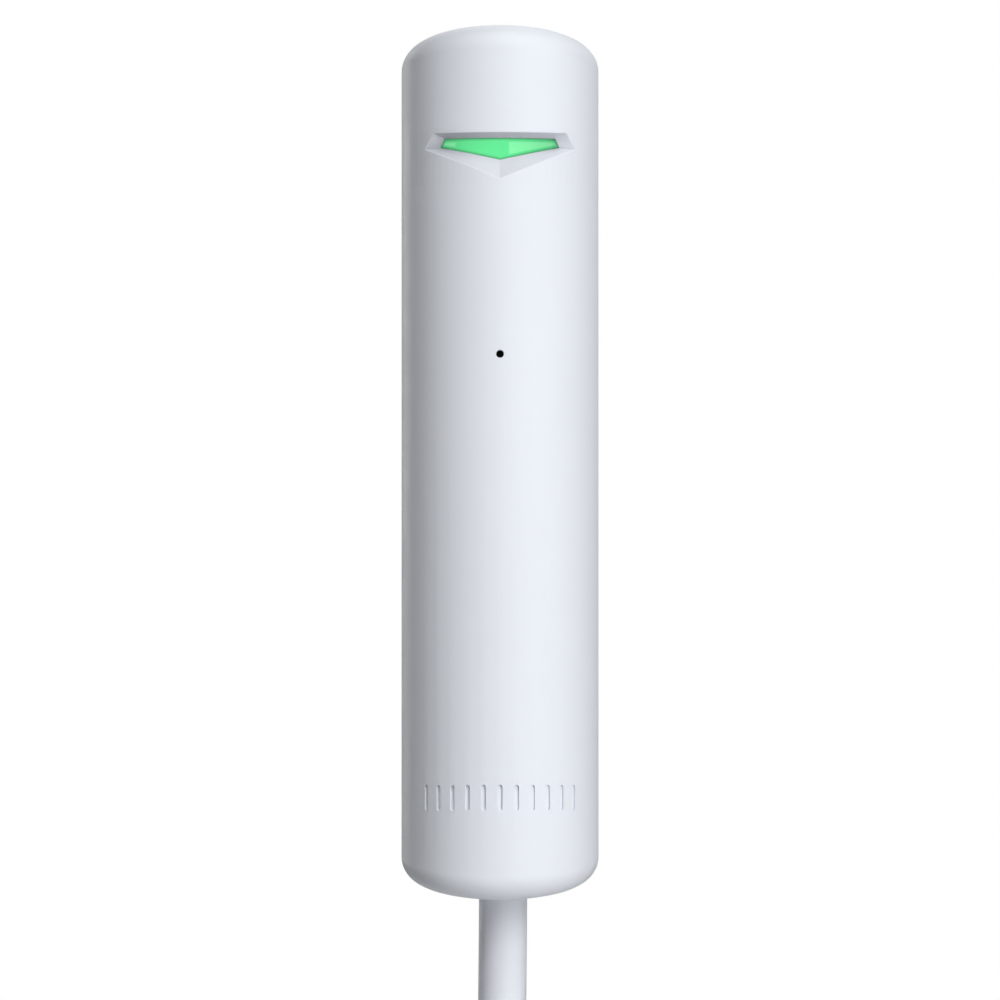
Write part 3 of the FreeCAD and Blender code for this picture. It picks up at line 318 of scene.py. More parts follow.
class Finish:
    """A material in the making: one Principled shader and the nodes that feed it."""

    def __init__(self, name, **fixed):
        self.material = bpy.data.materials.new(name)
        self.material.use_nodes = True
        self.tree = self.material.node_tree
        self.shader = self.tree.nodes["Principled BSDF"]
        self.place = self.node("ShaderNodeTexCoord").outputs["Object"]
        for socket, value in fixed.items():
            self.fix(socket.replace("_", " "), value)

    def fix(self, socket, value):
        """Sets a value that is the same all over the surface."""
        self.shader.inputs[socket].default_value = value

    def node(self, kind, **options):
        made = self.tree.nodes.new(kind)
        for name, value in options.items():
            setattr(made, name, value)
        return made

    def link(self, start, end):
        self.tree.links.new(start, end)

    def feed(self, start, socket):
        """Links an output to one of the shader's sockets."""
        self.link(start, self.shader.inputs[socket])

    def axes(self):
        """Object coordinates, as separate outputs X, Y and Z."""
        split = self.node("ShaderNodeSeparateXYZ")
        self.link(self.place, split.inputs["Vector"])
        return split.outputs

    def stretched(self, scale=(1, 1, 1), turn=(0, 0, 0)):
        """Object coordinates, turned and scaled for a pattern with a direction."""
        mapping = self.node("ShaderNodeMapping")
        mapping.inputs["Rotation"].default_value = [math.radians(angle) for angle in turn]
        mapping.inputs["Scale"].default_value = scale
        self.link(self.place, mapping.inputs["Vector"])
        return mapping.outputs["Vector"]

    def noise(self, grain, detail=2.0, place=None):
        """Noise whose spots are about as wide as the grain."""
        made = self.node("ShaderNodeTexNoise")
        made.inputs["Scale"].default_value = 1 / grain
        made.inputs["Detail"].default_value = detail
        self.link(place or self.place, made.inputs["Vector"])
        return made.outputs["Fac"]

    def cells(self, grain):
        """Distance from the nearest point of a random cell pattern."""
        made = self.node("ShaderNodeTexVoronoi")
        made.inputs["Scale"].default_value = 1 / grain
        self.link(self.place, made.inputs["Vector"])
        return made.outputs["Distance"]

    def wave(self, pitch, direction):
        """Bands of this pitch across one axis."""
        made = self.node("ShaderNodeTexWave", bands_direction=direction)
        made.inputs["Scale"].default_value = math.pi / (10 * pitch)
        self.link(self.place, made.inputs["Vector"])
        return made.outputs["Fac"]

    def spread(self, source, low, high, out_low=0.0, out_high=1.0):
        """Takes a value from one range to another."""
        made = self.node("ShaderNodeMapRange")
        values = {"From Min": low, "From Max": high, "To Min": out_low, "To Max": out_high}
        for socket, value in values.items():
            made.inputs[socket].default_value = value
        self.link(source, made.inputs["Value"])
        return made.outputs["Result"]

    def combine(self, kind, first, second):
        """A Math node on two outputs or numbers."""
        made = self.node("ShaderNodeMath", operation=kind)
        for socket, value in zip(made.inputs, (first, second)):
            if isinstance(value, (int, float)):
                socket.default_value = value
            else:
                self.link(value, socket)
        return made.outputs["Value"]

    def blend(self, factor, first, second):
        """A colour between two colours, which are values or outputs."""
        made = self.node("ShaderNodeMix", data_type="RGBA")
        self.link(factor, made.inputs["Factor"])
        for socket, value in ((made.inputs["A"], first), (made.inputs["B"], second)):
            if isinstance(value, bpy.types.NodeSocket):
                self.link(value, socket)
            else:
                socket.default_value = (*value, 1.0)
        return made.outputs["Result"]

    def bump(self, height, depth, strength):
        """Relief of this depth in metres from a height between 0 and 1."""
        made = self.node("ShaderNodeBump")
        made.inputs["Distance"].default_value = depth
        made.inputs["Strength"].default_value = strength
        self.link(height, made.inputs["Height"])
        return made.outputs["Normal"]

    def paint(self, factor, first, second):
        """Feeds the colour with a blend."""
        self.feed(self.blend(factor, first, second), "Base Color")

    def shine(self, source, low, high):
        """Feeds the roughness with a noise, from low to high."""
        self.feed(self.spread(source, 0.3, 0.7, low, high), "Roughness")

    def relief(self, height, depth, strength):
        """Feeds the normal with a bump."""
        self.feed(self.bump(height, depth, strength), "Normal")


def shade(colour, factor):
    """The colour, made lighter or darker."""
    return tuple(min(1.0, part * factor) for part in colour)


def satin(finish, colour, roughness, grain, depth):
    """Satin moulded look: fine grain, faint flow marks and uneven shine. Returns what feeds the shader."""
    flow = finish.noise(9 * MM, 3.0, finish.stretched(scale=(1.0, 1.0, 0.35)))
    tint = finish.blend(flow, shade(colour, 0.985), shade(colour, 1.012))
    shine = finish.spread(finish.noise(2.2 * MM, 4.0), 0.3, 0.7, roughness - 0.03, roughness + 0.03)
    relief = finish.bump(finish.noise(grain, 3.0), depth, 0.5)
    finish.feed(tint, "Base Color")
    finish.feed(shine, "Roughness")
    finish.feed(relief, "Normal")
    return tint, shine, relief


def moulded_plastic(name, colour, roughness, grain, depth):
    finish = Finish(name, IOR=1.49)
    satin(finish, colour, roughness, grain, depth)
    return finish.material


def epoxy(name, colour, roughness=0.6, grain=0.06 * MM):
    """Filled epoxy or ceramic: a matt speckled body."""
    finish = Finish(name, IOR=1.5)
    speckle = finish.spread(finish.cells(grain), 0.1, 0.8)
    finish.paint(speckle, shade(colour, 0.8), shade(colour, 1.25))
    finish.shine(finish.noise(4 * grain), roughness - 0.08, roughness + 0.08)
    finish.relief(finish.noise(grain), 0.01 * MM, 0.4)
    return finish.material


def bare_metal(name, colour, roughness, scale, grain=0.05 * MM):
    """Plated or drawn metal with fine marks along one direction."""
    finish = Finish(name, Metallic=1.0)
    marks = finish.noise(grain, 4.0, finish.stretched(scale=scale))
    finish.paint(marks, shade(colour, 0.86), shade(colour, 1.08))
    finish.shine(marks, roughness - 0.06, roughness + 0.08)
    finish.relief(marks, 0.004 * MM, 0.4)
    return finish.material


def extruded_plastic(name, colour, roughness):
    """Extruded sheath or insulation: faint lines along it and a soft mottle."""
    finish = Finish(name, IOR=1.5)
    mottle = finish.noise(3.5 * MM, 3.0)
    finish.paint(mottle, shade(colour, 0.97), shade(colour, 1.02))
    dust = finish.noise(0.5 * MM, 4.0)
    finish.shine(dust, roughness - 0.05, roughness + 0.06)
    finish.relief(finish.noise(0.35 * MM, 3.0), 0.012 * MM, 0.35)
    return finish.material


def soft_rubber(name, colour):
    finish = Finish(name, IOR=1.5)
    dust = finish.noise(0.4 * MM, 5.0)
    finish.paint(dust, shade(colour, 0.8), shade(colour, 1.5))
    finish.shine(dust, 0.62, 0.8)
    finish.relief(finish.noise(0.12 * MM), 0.01 * MM, 0.5)
    return finish.material


def dust_mesh(name):
    """Woven mesh in front of the microphone: fine threads across and up."""
    finish = Finish(name, IOR=1.5, Roughness=0.7)
    across = finish.wave(0.12 * MM, "X")
    up = finish.wave(0.12 * MM, "Z")
    threads = finish.combine("MAXIMUM", across, up)
    finish.paint(threads, (0.004, 0.004, 0.004), (0.045, 0.045, 0.048))
    finish.relief(threads, 0.03 * MM, 0.8)
    return finish.material


def solder_resist(name):
    """Green board: tracks and pads show faintly through the resist."""
    finish = Finish(name, IOR=1.53)
    tracks = finish.node("ShaderNodeTexBrick", offset=0.37, squash=0.6, squash_frequency=3)
    sizes = {"Scale": 1.0, "Mortar Size": 0.09 * MM, "Brick Width": 3.1 * MM, "Row Height": 0.64 * MM}
    for socket, value in sizes.items():
        tracks.inputs[socket].default_value = value
    finish.link(finish.stretched(turn=(90, 0, 0)), tracks.inputs["Vector"])
    copper = finish.spread(tracks.outputs["Fac"], 0.0, 1.0)
    finish.paint(copper, (0.012, 0.15, 0.06), (0.03, 0.26, 0.10))
    finish.shine(finish.noise(0.8 * MM), 0.22, 0.34)
    finish.relief(copper, 0.03 * MM, 0.6)
    return finish.material


def banded_capacitor(name):
    """Moulded yellow body with a dark band along one end."""
    finish = Finish(name, IOR=1.5)
    at = finish.axes()
    side = finish.combine("ABSOLUTE", at["X"], 0.0)
    band = finish.spread(side, 4.05 * MM, 4.1 * MM)
    grain = finish.noise(0.1 * MM)
    body = finish.blend(grain, (0.62, 0.40, 0.07), (0.76, 0.52, 0.11))
    finish.paint(band, body, (0.26, 0.12, 0.03))
    finish.shine(grain, 0.42, 0.55)
    finish.relief(grain, 0.01 * MM, 0.4)
    return finish.material


def ribbed_nylon(name):
    """Natural nylon tie with the fine cross ribs of its band."""
    finish = Finish(name, IOR=1.53)
    ribs = finish.wave(0.5 * MM, "X")
    haze = finish.noise(1.2 * MM)
    finish.paint(haze, (0.70, 0.69, 0.62), (0.82, 0.81, 0.75))
    finish.shine(haze, 0.34, 0.44)
    finish.relief(ribs, 0.04 * MM, 0.5)
    return finish.material


def loop_pile(name, colour):
    """Brushed pile of a hook-and-loop strap: tangled loops over a ribbed tape."""
    finish = Finish(name, IOR=1.5, Sheen_Weight=0.35, Sheen_Roughness=0.45)
    tangle = finish.noise(0.22 * MM, 6.0)
    loops = finish.cells(0.4 * MM)
    ribs = finish.wave(0.9 * MM, "Z")
    height = finish.combine("MULTIPLY", loops, 0.7)
    for relief, share in ((tangle, 0.6), (ribs, 0.25)):
        height = finish.combine("ADD", height, finish.combine("MULTIPLY", relief, share))
    # Painted shade and light: the colour follows the pile's height, darker in the hollows between loops and
    # lighter on the loop tops
    finish.paint(finish.spread(height, 0.3, 1.1), shade(colour, 0.45), shade(colour, 2.0))
    finish.shine(tangle, 0.75, 0.95)
    finish.relief(height, 0.25 * MM, 0.8)
    return finish.material


def led_body(name):
    finish = Finish(name, IOR=1.53)
    haze = finish.noise(0.3 * MM)
    finish.paint(haze, (0.80, 0.81, 0.74), (0.9, 0.9, 0.86))
    finish.shine(haze, 0.2, 0.3)
    finish.fix("Emission Color", (0.3, 0.9, 0.45, 1.0))
    finish.fix("Emission Strength", 0.4)
    return finish.material


def dress(slot, material):
    """Gives a finish to every CAD node of a material slot."""
    nodes = [part["node"] for part in frame["record"]["subparts"] if part["material_slot"] == slot]
    if not nodes:
        raise RuntimeError(f"no part has the finish {slot}")
    for name in nodes:
        mesh = frame["nodes"][name].data
        mesh.materials.clear()
        mesh.materials.append(material)


# Column, cover and bracket


RECESS_LOW_Z = 28.0 * MM
RECESS_HIGH_Z = 33.6 * MM
RECESS_DEPTH = 0.08 * MM
RECESS_LEFT_X = -7.5 * MM
LOW_FACES_FULL_Z = 31.0 * MM
LOW_FACES_TOP_Z = 31.9 * MM
# Painted shade in the recess: its share on the low faces and the colour factor that it darkens to
LOW_FACES_SHADE_SHARE = 0.35
RECESS_PAINTED_SHADE = 0.7


def housing_plastic(housing):
    """The satin plastic of the housing, polished inside the window's recess, with painted shade there: darker
    towards the recess's left tip and on its low faces.
    """
    finish = Finish("housing_plastic", IOR=1.49)
    tint, shine, relief = satin(finish, housing.colour, housing.shine, housing.grain, 0.006 * MM)
    at = finish.axes()
    across = finish.combine("POWER", at["X"], 2.0)
    deep = finish.combine("POWER", finish.combine("SUBTRACT", at["Y"], COLUMN_AXIS_Y), 2.0)
    radius = finish.combine("SQRT", finish.combine("ADD", across, deep), 0.0)
    sunk = finish.spread(radius, COLUMN_RADIUS - RECESS_DEPTH, COLUMN_RADIUS, 1.0, 0.0)
    above = finish.combine("GREATER_THAN", at["Z"], RECESS_LOW_Z)
    below = finish.combine("LESS_THAN", at["Z"], RECESS_HIGH_Z)
    inside = finish.combine("MULTIPLY", sunk, finish.combine("MULTIPLY", above, below))
    polished = finish.node("ShaderNodeMix", data_type="FLOAT")
    finish.link(inside, polished.inputs["Factor"])
    finish.link(shine, polished.inputs["A"])
    polished.inputs["B"].default_value = housing.recess_shine
    finish.feed(polished.outputs["Result"], "Roughness")
    finish.link(finish.spread(inside, 0.0, 1.0, 0.5, 0.0), relief.node.inputs["Strength"])
    # Painted shade: the recess faces darken towards the left tip and on the low faces, in place of the shade
    # that falls there
    leftward_shade = finish.spread(at["X"], RECESS_LEFT_X, 0.0, 1.0, 0.0)
    low_faces_shade = finish.spread(at["Z"], LOW_FACES_FULL_Z, LOW_FACES_TOP_Z, LOW_FACES_SHADE_SHARE, 0.0)
    painted_shade = finish.combine("MULTIPLY", inside, finish.combine("MAXIMUM", leftward_shade, low_faces_shade))
    finish.paint(painted_shade, tint, shade(housing.colour, RECESS_PAINTED_SHADE))
    return finish.material


class SENSOR_OT_finish_housing(bpy.types.Operator):
    """Give the column, its rear cover and the wall bracket their moulded finish"""

    bl_idname = "sensor.finish_housing"
    bl_label = "Finish Housing"

    def execute(self, context):
        housing = context.scene.sensor_housing
        white = housing_plastic(housing)
        grain, shine = 1.4 * housing.grain, housing.shine + 0.05
        bracket = moulded_plastic("bracket_plastic", housing.bracket_colour, shine, grain, 0.008 * MM)
        plunger = moulded_plastic("plunger_acetal", (0.78, 0.79, 0.80), 0.34, 0.2 * MM, 0.004 * MM)
        dress("housing_white", white)
        dress("bracket_white", bracket)
        dress("plunger_white", plunger)
        return {"FINISHED"}


# Lit window

LENS_TOP_Z = 32.73 * MM
LENS_SHOULDER_Z = 31.83 * MM
LENS_POINT_Z = 30.52 * MM
LENS_TOP_HALF = 5.6 * MM
LENS_TIP_HALF = 6.0 * MM
GLOW_MIDDLE_X = -0.8 * MM
GLOW_REACH = 6.1 * MM
EDGE_SHADE_LEVEL = 0.55
TIP_X = 5.3 * MM
TIP_FADE = 0.06 * MM
TIP_LEVEL = 0.77


def inside_line(finish, across, up, start, end):
    """Distance inside the line from start to end, whose inner side is on its left."""
    run = Vector(end) - Vector(start)
    normal = Vector((-run.y, run.x)).normalized()
    offset = -normal.dot(Vector(start))
    total = finish.combine("MULTIPLY", across, normal.x)
    total = finish.combine("ADD", total, finish.combine("MULTIPLY", up, normal.y))
    return finish.combine("ADD", total, offset)


def lit_lens(window):
    """Clear green lens, lit from behind: even in the middle and dimmer along its outline, a painted shade for
    its rounded edge.
    """
    finish = Finish("lit_lens", IOR=1.5, Roughness=0.04)
    at = finish.axes()
    across = finish.combine("ABSOLUTE", at["X"], 0.0)
    up = at["Z"]
    top = inside_line(finish, across, up, (LENS_TOP_HALF, LENS_TOP_Z), (0, LENS_TOP_Z))
    side = inside_line(finish, across, up, (LENS_TIP_HALF, LENS_SHOULDER_Z), (LENS_TOP_HALF, LENS_TOP_Z))
    low = inside_line(finish, across, up, (0, LENS_POINT_Z), (LENS_TIP_HALF, LENS_SHOULDER_Z))
    inside = finish.combine("MINIMUM", finish.combine("MINIMUM", top, side), low)
    # Painted shade: the glow dims along the outline in place of the darker reflection on the lens's rounded
    # edge
    edge = finish.spread(inside, 0.0, window.edge_width, EDGE_SHADE_LEVEL, 1.0)
    edge.node.interpolation_type = "SMOOTHSTEP"
    off_middle = finish.combine("SUBTRACT", at["X"], GLOW_MIDDLE_X)
    glow = finish.combine("POWER", finish.combine("ABSOLUTE", off_middle, 0.0), 2.0)
    glow = finish.spread(glow, 0.0, GLOW_REACH**2, 1.0, window.end_level)
    cloud = finish.spread(finish.noise(1.6 * MM, 3.0), 0.2, 0.8, 0.97, 1.03)
    tip = finish.spread(at["X"], TIP_X - TIP_FADE, TIP_X + TIP_FADE, 1.0, TIP_LEVEL)
    level = edge
    for part in (glow, cloud, tip):
        level = finish.combine("MULTIPLY", level, part)
    finish.feed(level, "Emission Strength")
    finish.fix("Emission Color", (*window.colour, 1.0))
    finish.paint(cloud, shade(window.body_colour, 0.9), window.body_colour)
    return finish.material


class SENSOR_OT_light_window(bpy.types.Operator):
    """Light the green window and the small lights behind it"""

    bl_idname = "sensor.light_window"
    bl_label = "Light Window"

    def execute(self, context):
        dress("lens_green", lit_lens(context.scene.sensor_window))
        guide = frame["nodes"]["light_guide"]
        # The housing round the window neither mirrors nor takes up its green
        guide.visible_diffuse = False
        guide.visible_glossy = False
        dress("led_white", led_body("led_body"))
        return {"FINISHED"}


# Board and what it carries


class SENSOR_OT_finish_board(bpy.types.Operator):
    """Give the circuit board, its small parts and the microphone their finishes"""

    bl_idname = "sensor.finish_board"
    bl_label = "Finish Board"

    def execute(self, context):
        dress("board_green", solder_resist("solder_resist"))
        dress("chip_black", epoxy("chip_epoxy", (0.018, 0.018, 0.02), 0.55))
        dress("ferrite_grey", epoxy("ferrite", (0.09, 0.09, 0.095), 0.7, 0.1 * MM))
        dress("ceramic_tan", epoxy("ceramic", (0.44, 0.34, 0.23), 0.45))
        dress("tantalum_yellow", banded_capacitor("tantalum_body"))
        dress("can_metal", bare_metal("can_metal", (0.72, 0.73, 0.74), 0.32, (1, 6, 1)))
        dress("boot_rubber", soft_rubber("boot_rubber", (0.025, 0.025, 0.027)))
        dress("mesh_black", dust_mesh("dust_mesh"))
        dress("switch_black", epoxy("switch_nylon", (0.022, 0.022, 0.022), 0.5, 0.09 * MM))
        return {"FINISHED"}


# Terminal, screws, cores and the tie inside


class SENSOR_OT_finish_wiring(bpy.types.Operator):
    """Give the terminal, the screws, the coloured cores and the inner tie their finishes"""

    bl_idname = "sensor.finish_wiring"
    bl_label = "Finish Wiring"

    def execute(self, context):
        green = (0.035, 0.33, 0.14)
        dress("terminal_green", moulded_plastic("terminal_nylon", green, 0.45, 0.15 * MM, 0.006 * MM))
        dress("plated_steel", bare_metal("plated_steel", (0.66, 0.66, 0.68), 0.26, (1, 8, 1)))
        dress("tie_nylon", ribbed_nylon("tie_nylon"))
        cores = {
            "core_red": (0.58, 0.02, 0.02),
            "core_black": (0.014, 0.014, 0.015),
            "core_green": (0.015, 0.30, 0.07),
            "core_white": (0.78, 0.78, 0.76),
        }
        for slot, colour in cores.items():
            dress(slot, extruded_plastic(slot, colour, 0.3))
        return {"FINISHED"}


# Cable and its hank

FOLD_STEPS = 12
OUTERMOST = 2
WAIST_RADIUS = 15.4 * MM
WAIST_SPREAD = 0.6
PASSES = [
    # Each pass runs through one lobe: end, index of the fold before and after, layer before and after
    (-1, 0, 0, 0, 1),
    (1, 0, 1, 1, 1),
    (-1, 1, 1, 1, 1),
    (1, 1, 2, 1, 1),
    (-1, 2, 2, 1, 1),
    (1, 2, 2, 1, 2),
    (-1, 2, 2, 2, 2),
    (1, 2, 1, 2, 2),
    (-1, 1, 1, 2, 2),
    (1, 1, 0, 2, 2),
]
# The pass that climbs from the middle layer to the last one swings further out
CROSSING = 5
CROSSING_BULGE = 2.0 * MM
# How far the folds bulge, from the innermost, and how uneven that is
LOOSENESS = (0.1 * MM, 0.6 * MM, 1.2 * MM)
UNEVENNESS = 0.2 * MM
SEED = 11
# Shares of a pass where a change begins and over which it lasts
FOLD_CHANGE = (0.2, 0.6)
LAYER_CHANGE = (0.15, 0.7)
FIRST_CHANGE = (0.0, 0.45)
NECK_TRIES = 30
TAIL_RUN = [
    # From the waist to the straight end: across, along Y and up from the waist
    (-2.4 * MM, -9.5 * MM, -15 * MM),
    (-1.6 * MM, -6.3 * MM, -24 * MM),
    (-0.5 * MM, -1.9 * MM, -34 * MM),
    (0.0, 0.0, -43 * MM),
    (0.0, 0.0, -56 * MM),
]


def eased(share):
    """A soft start and a soft end for a share from 0 to 1."""
    share = min(max(share, 0.0), 1.0)
    return share * share * (3 - 2 * share)


def changed(share, span):
    """How much of a change has been made at this share of a pass."""
    start, width = span
    return eased((share - start) / width)


def waist_offset(cable, index):
    """How far from the middle a run goes through the waist."""
    return (index + 0.5) * cable.diameter


def neck(cable, index):
    """Angle at which a run leaves its fold, off the upright, and half the height of its bend at the waist."""
    fold = cable.fold_radius + index * cable.diameter
    offset = waist_offset(cable, index)
    bend = WAIST_RADIUS + WAIST_SPREAD * (OUTERMOST - index) * cable.diameter
    half = 0.0
    for _ in range(NECK_TRIES):
        rise = cable.lobe_rise - half
        angle = math.asin(fold / math.hypot(offset, rise)) - math.atan2(offset, rise)
        half = bend * math.tan(angle / 2)
    return angle, half


def waist_points(cable, side, index, layer, end):
    """Where a run goes upright through the waist towards the lobe at this end, as a bend of even radius."""
    angle, half = neck(cable, index)
    x, y = waist_offset(cable, index), CABLE_Y - layer * cable.diameter
    outer_x, outer_rise = x + 2 * half * math.sin(angle), half + 2 * half * math.cos(angle)
    corners = [(outer_x, -outer_rise), (x, -half), (x, half), (outer_x, outer_rise)]
    return [(side * across, y, WAIST_Z + end * rise) for across, rise in corners]


def lobe_points(cable, side, run, loose):
    """The points of one pass round a lobe, which starts on the side given and ends on the other."""
    end, first, last, near, far = run
    starts, ends = -neck(cable, first)[0], math.pi + neck(cable, last)[0]
    step_angle = (ends - starts) / FOLD_STEPS
    points = []
    for step in range(-1, FOLD_STEPS + 1):
        share = (step + 0.5) / FOLD_STEPS
        angle = starts + share * (ends - starts)
        index = first + (last - first) * changed(share, FOLD_CHANGE)
        layer = near + (far - near) * changed(share, LAYER_CHANGE if near else FIRST_CHANGE)
        swell = math.sin(math.pi * min(max(share, 0), 1)) ** 4 * loose
        corner = (cable.fold_radius + index * cable.diameter + swell) / math.cos(step_angle / 2)
        z = WAIST_Z + end * (cable.lobe_rise + corner * math.sin(angle))
        points.append((side * corner * math.cos(angle), CABLE_Y - layer * cable.diameter, z))
    return points


def cable_route(cable):
    """The points of the cable's line: down from the column, round the hank and down to its bare end."""
    chance = random.Random(SEED)
    points = [
        (CABLE_X, CABLE_Y, CABLE_START_Z),
        (CABLE_X, CABLE_Y, HANK_TOP_Z),
        (CABLE_X - 1.4 * MM, CABLE_Y, WAIST_Z + 30 * MM),
    ]
    side = -1
    for number, run in enumerate(PASSES):
        layer = run[3]
        through = waist_points(cable, side, run[1], layer, run[0])
        points += through[1:] if number == 0 else through
        loose = LOOSENESS[max(run[1], run[2])] + chance.uniform(-1, 1) * UNEVENNESS
        if number == CROSSING:
            loose += CROSSING_BULGE
        points += lobe_points(cable, side, run, loose)
        side = -side
    points += waist_points(cable, side, 0, 2, -1)[:3]
    points += [(CABLE_X + across, CABLE_Y + along, WAIST_Z + up) for across, along, up in TAIL_RUN]
    points.append((CABLE_X, CABLE_Y, TAIL_END_Z))
    return points


class SENSOR_OT_lay_cable(bpy.types.Operator):
    """Run the cable down from the column and put its spare length away in a hank"""

    bl_idname = "sensor.lay_cable"
    bl_label = "Lay Cable"

    def execute(self, context):
        cable = context.scene.sensor_cable
        sheath = extruded_plastic("cable_sheath_plastic", cable.colour, 0.4)
        curve = bpy.data.curves.new("cable", "CURVE")
        curve.dimensions = "3D"
        points = cable_route(cable)
        spline = curve.splines.new("NURBS")
        spline.points.add(len(points) - 1)
        for point, place in zip(spline.points, points):
            point.co = (*place, 1.0)
        spline.order_u = 3
        spline.use_endpoint_u = True
        spline.resolution_u = 8
        curve.bevel_depth = cable.diameter / 2
        curve.bevel_resolution = 6
        curve.use_fill_caps = True
        curve.materials.append(sheath)
        cord = bpy.data.objects.new("cable", curve)
        context.scene.collection.objects.link(cord)
        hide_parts("cable_sheath", "cable_hank", "cable_tail")
        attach(cord, "sensor")
        return {"FINISHED"}


# Strap round the hank's waist

STRAP_SLACK = 0.05 * MM
STRAP_START = Vector((9 * MM, -20 * MM))
STRAP_STEPS = 150
STRAP_RISE = 6 * MM
HULL_STEP = 10


def outline_hull(circles, reach):
    """Corners of the line that a strap takes round circles at this distance from their middles."""
    points = sorted(
        (x + reach * math.cos(math.radians(turn)), y + reach * math.sin(math.radians(turn)))
        for x, y in circles
        for turn in range(0, 360, HULL_STEP)
    )
    halves = []
    for row in (points, points[::-1]):
        chain = []
        for point in row:
            while len(chain) > 1:
                (ax, ay), (bx, by) = chain[-2], chain[-1]
                if (bx - ax) * (point[1] - ay) - (by - ay) * (point[0] - ax) > 0:
                    break
                chain.pop()
            chain.append(point)
        halves += chain[:-1]
    return [Vector((x, y)) for x, y in halves]


def strap_path(cable, strap):
    """The strap's middle line: once round the waist, then on over its own start."""
    circles = []
    side = -1
    for _, first, _, layer, _ in PASSES:
        circles.append((side * waist_offset(cable, first), CABLE_Y - layer * cable.diameter))
        side = -side
    circles.append((side * waist_offset(cable, 0), CABLE_Y - 2 * cable.diameter))
    hull = outline_hull(circles, cable.diameter / 2 + STRAP_SLACK + strap.thickness / 2)
    begin = min(range(len(hull)), key=lambda i: (hull[i] - STRAP_START).length)
    closed = hull[begin:] + hull[: begin + 1]
    lengths = [0.0]
    for a, b in zip(closed, closed[1:]):
        lengths.append(lengths[-1] + (b - a).length)
    total = lengths[-1]
    path = []
    for step in range(STRAP_STEPS + 1):
        along = (total + strap.overlap) * step / STRAP_STEPS
        wrapped = along % total
        spot = max(i for i, value in enumerate(lengths[:-1]) if value <= wrapped)
        a, b = closed[spot], closed[spot + 1]
        share = (wrapped - lengths[spot]) / (lengths[spot + 1] - lengths[spot])
        run = (b - a).normalized()
        outwards = Vector((run.y, -run.x))
        lift = strap.thickness * eased((along - total + STRAP_RISE) / STRAP_RISE)
        place = a.lerp(b, share) + outwards * lift
        path.append((place.x, place.y, WAIST_Z))
    return path


# Geometry Nodes that sweep a section along lines

SHARP_ANGLE = math.radians(40)

def new_tree(name, inputs):
    """A node group for a Geometry Nodes modifier, with the named inputs given."""
    tree = bpy.data.node_groups.new(name, "GeometryNodeTree")
    tree.interface.new_socket("Geometry", in_out="INPUT", socket_type="NodeSocketGeometry")
    for label, kind in inputs.items():
        tree.interface.new_socket(label, in_out="INPUT", socket_type=kind)
    tree.interface.new_socket("Geometry", in_out="OUTPUT", socket_type="NodeSocketGeometry")
    return tree, tree.nodes.new("NodeGroupInput").outputs


def add_node(tree, kind, options=(), **inputs):
    """Adds a node, sets its options and links or sets its inputs."""
    made = tree.nodes.new(kind)
    for option, value in dict(options).items():
        setattr(made, option, value)
    for label, value in inputs.items():
        socket = made.inputs[label.replace("_", " ")]
        if isinstance(value, bpy.types.NodeSocket):
            tree.links.new(value, socket)
        else:
            socket.default_value = value
    return made


def close_tree(tree, mesh, material):
    """Ends a node group: instances made real and the material set."""
    real = add_node(tree, "GeometryNodeRealizeInstances", Geometry=mesh)
    paint = add_node(tree, "GeometryNodeSetMaterial", Geometry=real.outputs["Geometry"], Material=material)
    end = tree.nodes.new("NodeGroupOutput")
    tree.links.new(paint.outputs["Geometry"], end.inputs["Geometry"])
    return tree


def strap_tree():
    """Sweeps a flat strip with rounded edges along a level line."""
    lengths = ("Width", "Thickness", "Rounding")
    inputs = {label: "NodeSocketFloat" for label in lengths} | {"Material": "NodeSocketMaterial"}
    tree, start = new_tree("strap_sweep", inputs)
    line = add_node(tree, "GeometryNodeMeshToCurve", Mesh=start["Geometry"])
    level = add_node(tree, "GeometryNodeSetCurveNormal", {"mode": "Z_UP"}, Curve=line.outputs["Curve"])
    strip = add_node(
        tree, "GeometryNodeCurvePrimitiveQuadrilateral", Width=start["Thickness"], Height=start["Width"]
    )
    section = add_node(
        tree,
        "GeometryNodeFilletCurve",
        {"mode": "POLY"},
        Curve=strip.outputs["Curve"],
        Count=3,
        Radius=start["Rounding"],
    )
    sweep = add_node(
        tree,
        "GeometryNodeCurveToMesh",
        Curve=level.outputs["Curve"],
        Profile_Curve=section.outputs["Curve"],
        Fill_Caps=True,
    )
    return close_tree(tree, sweep.outputs["Mesh"], start["Material"])


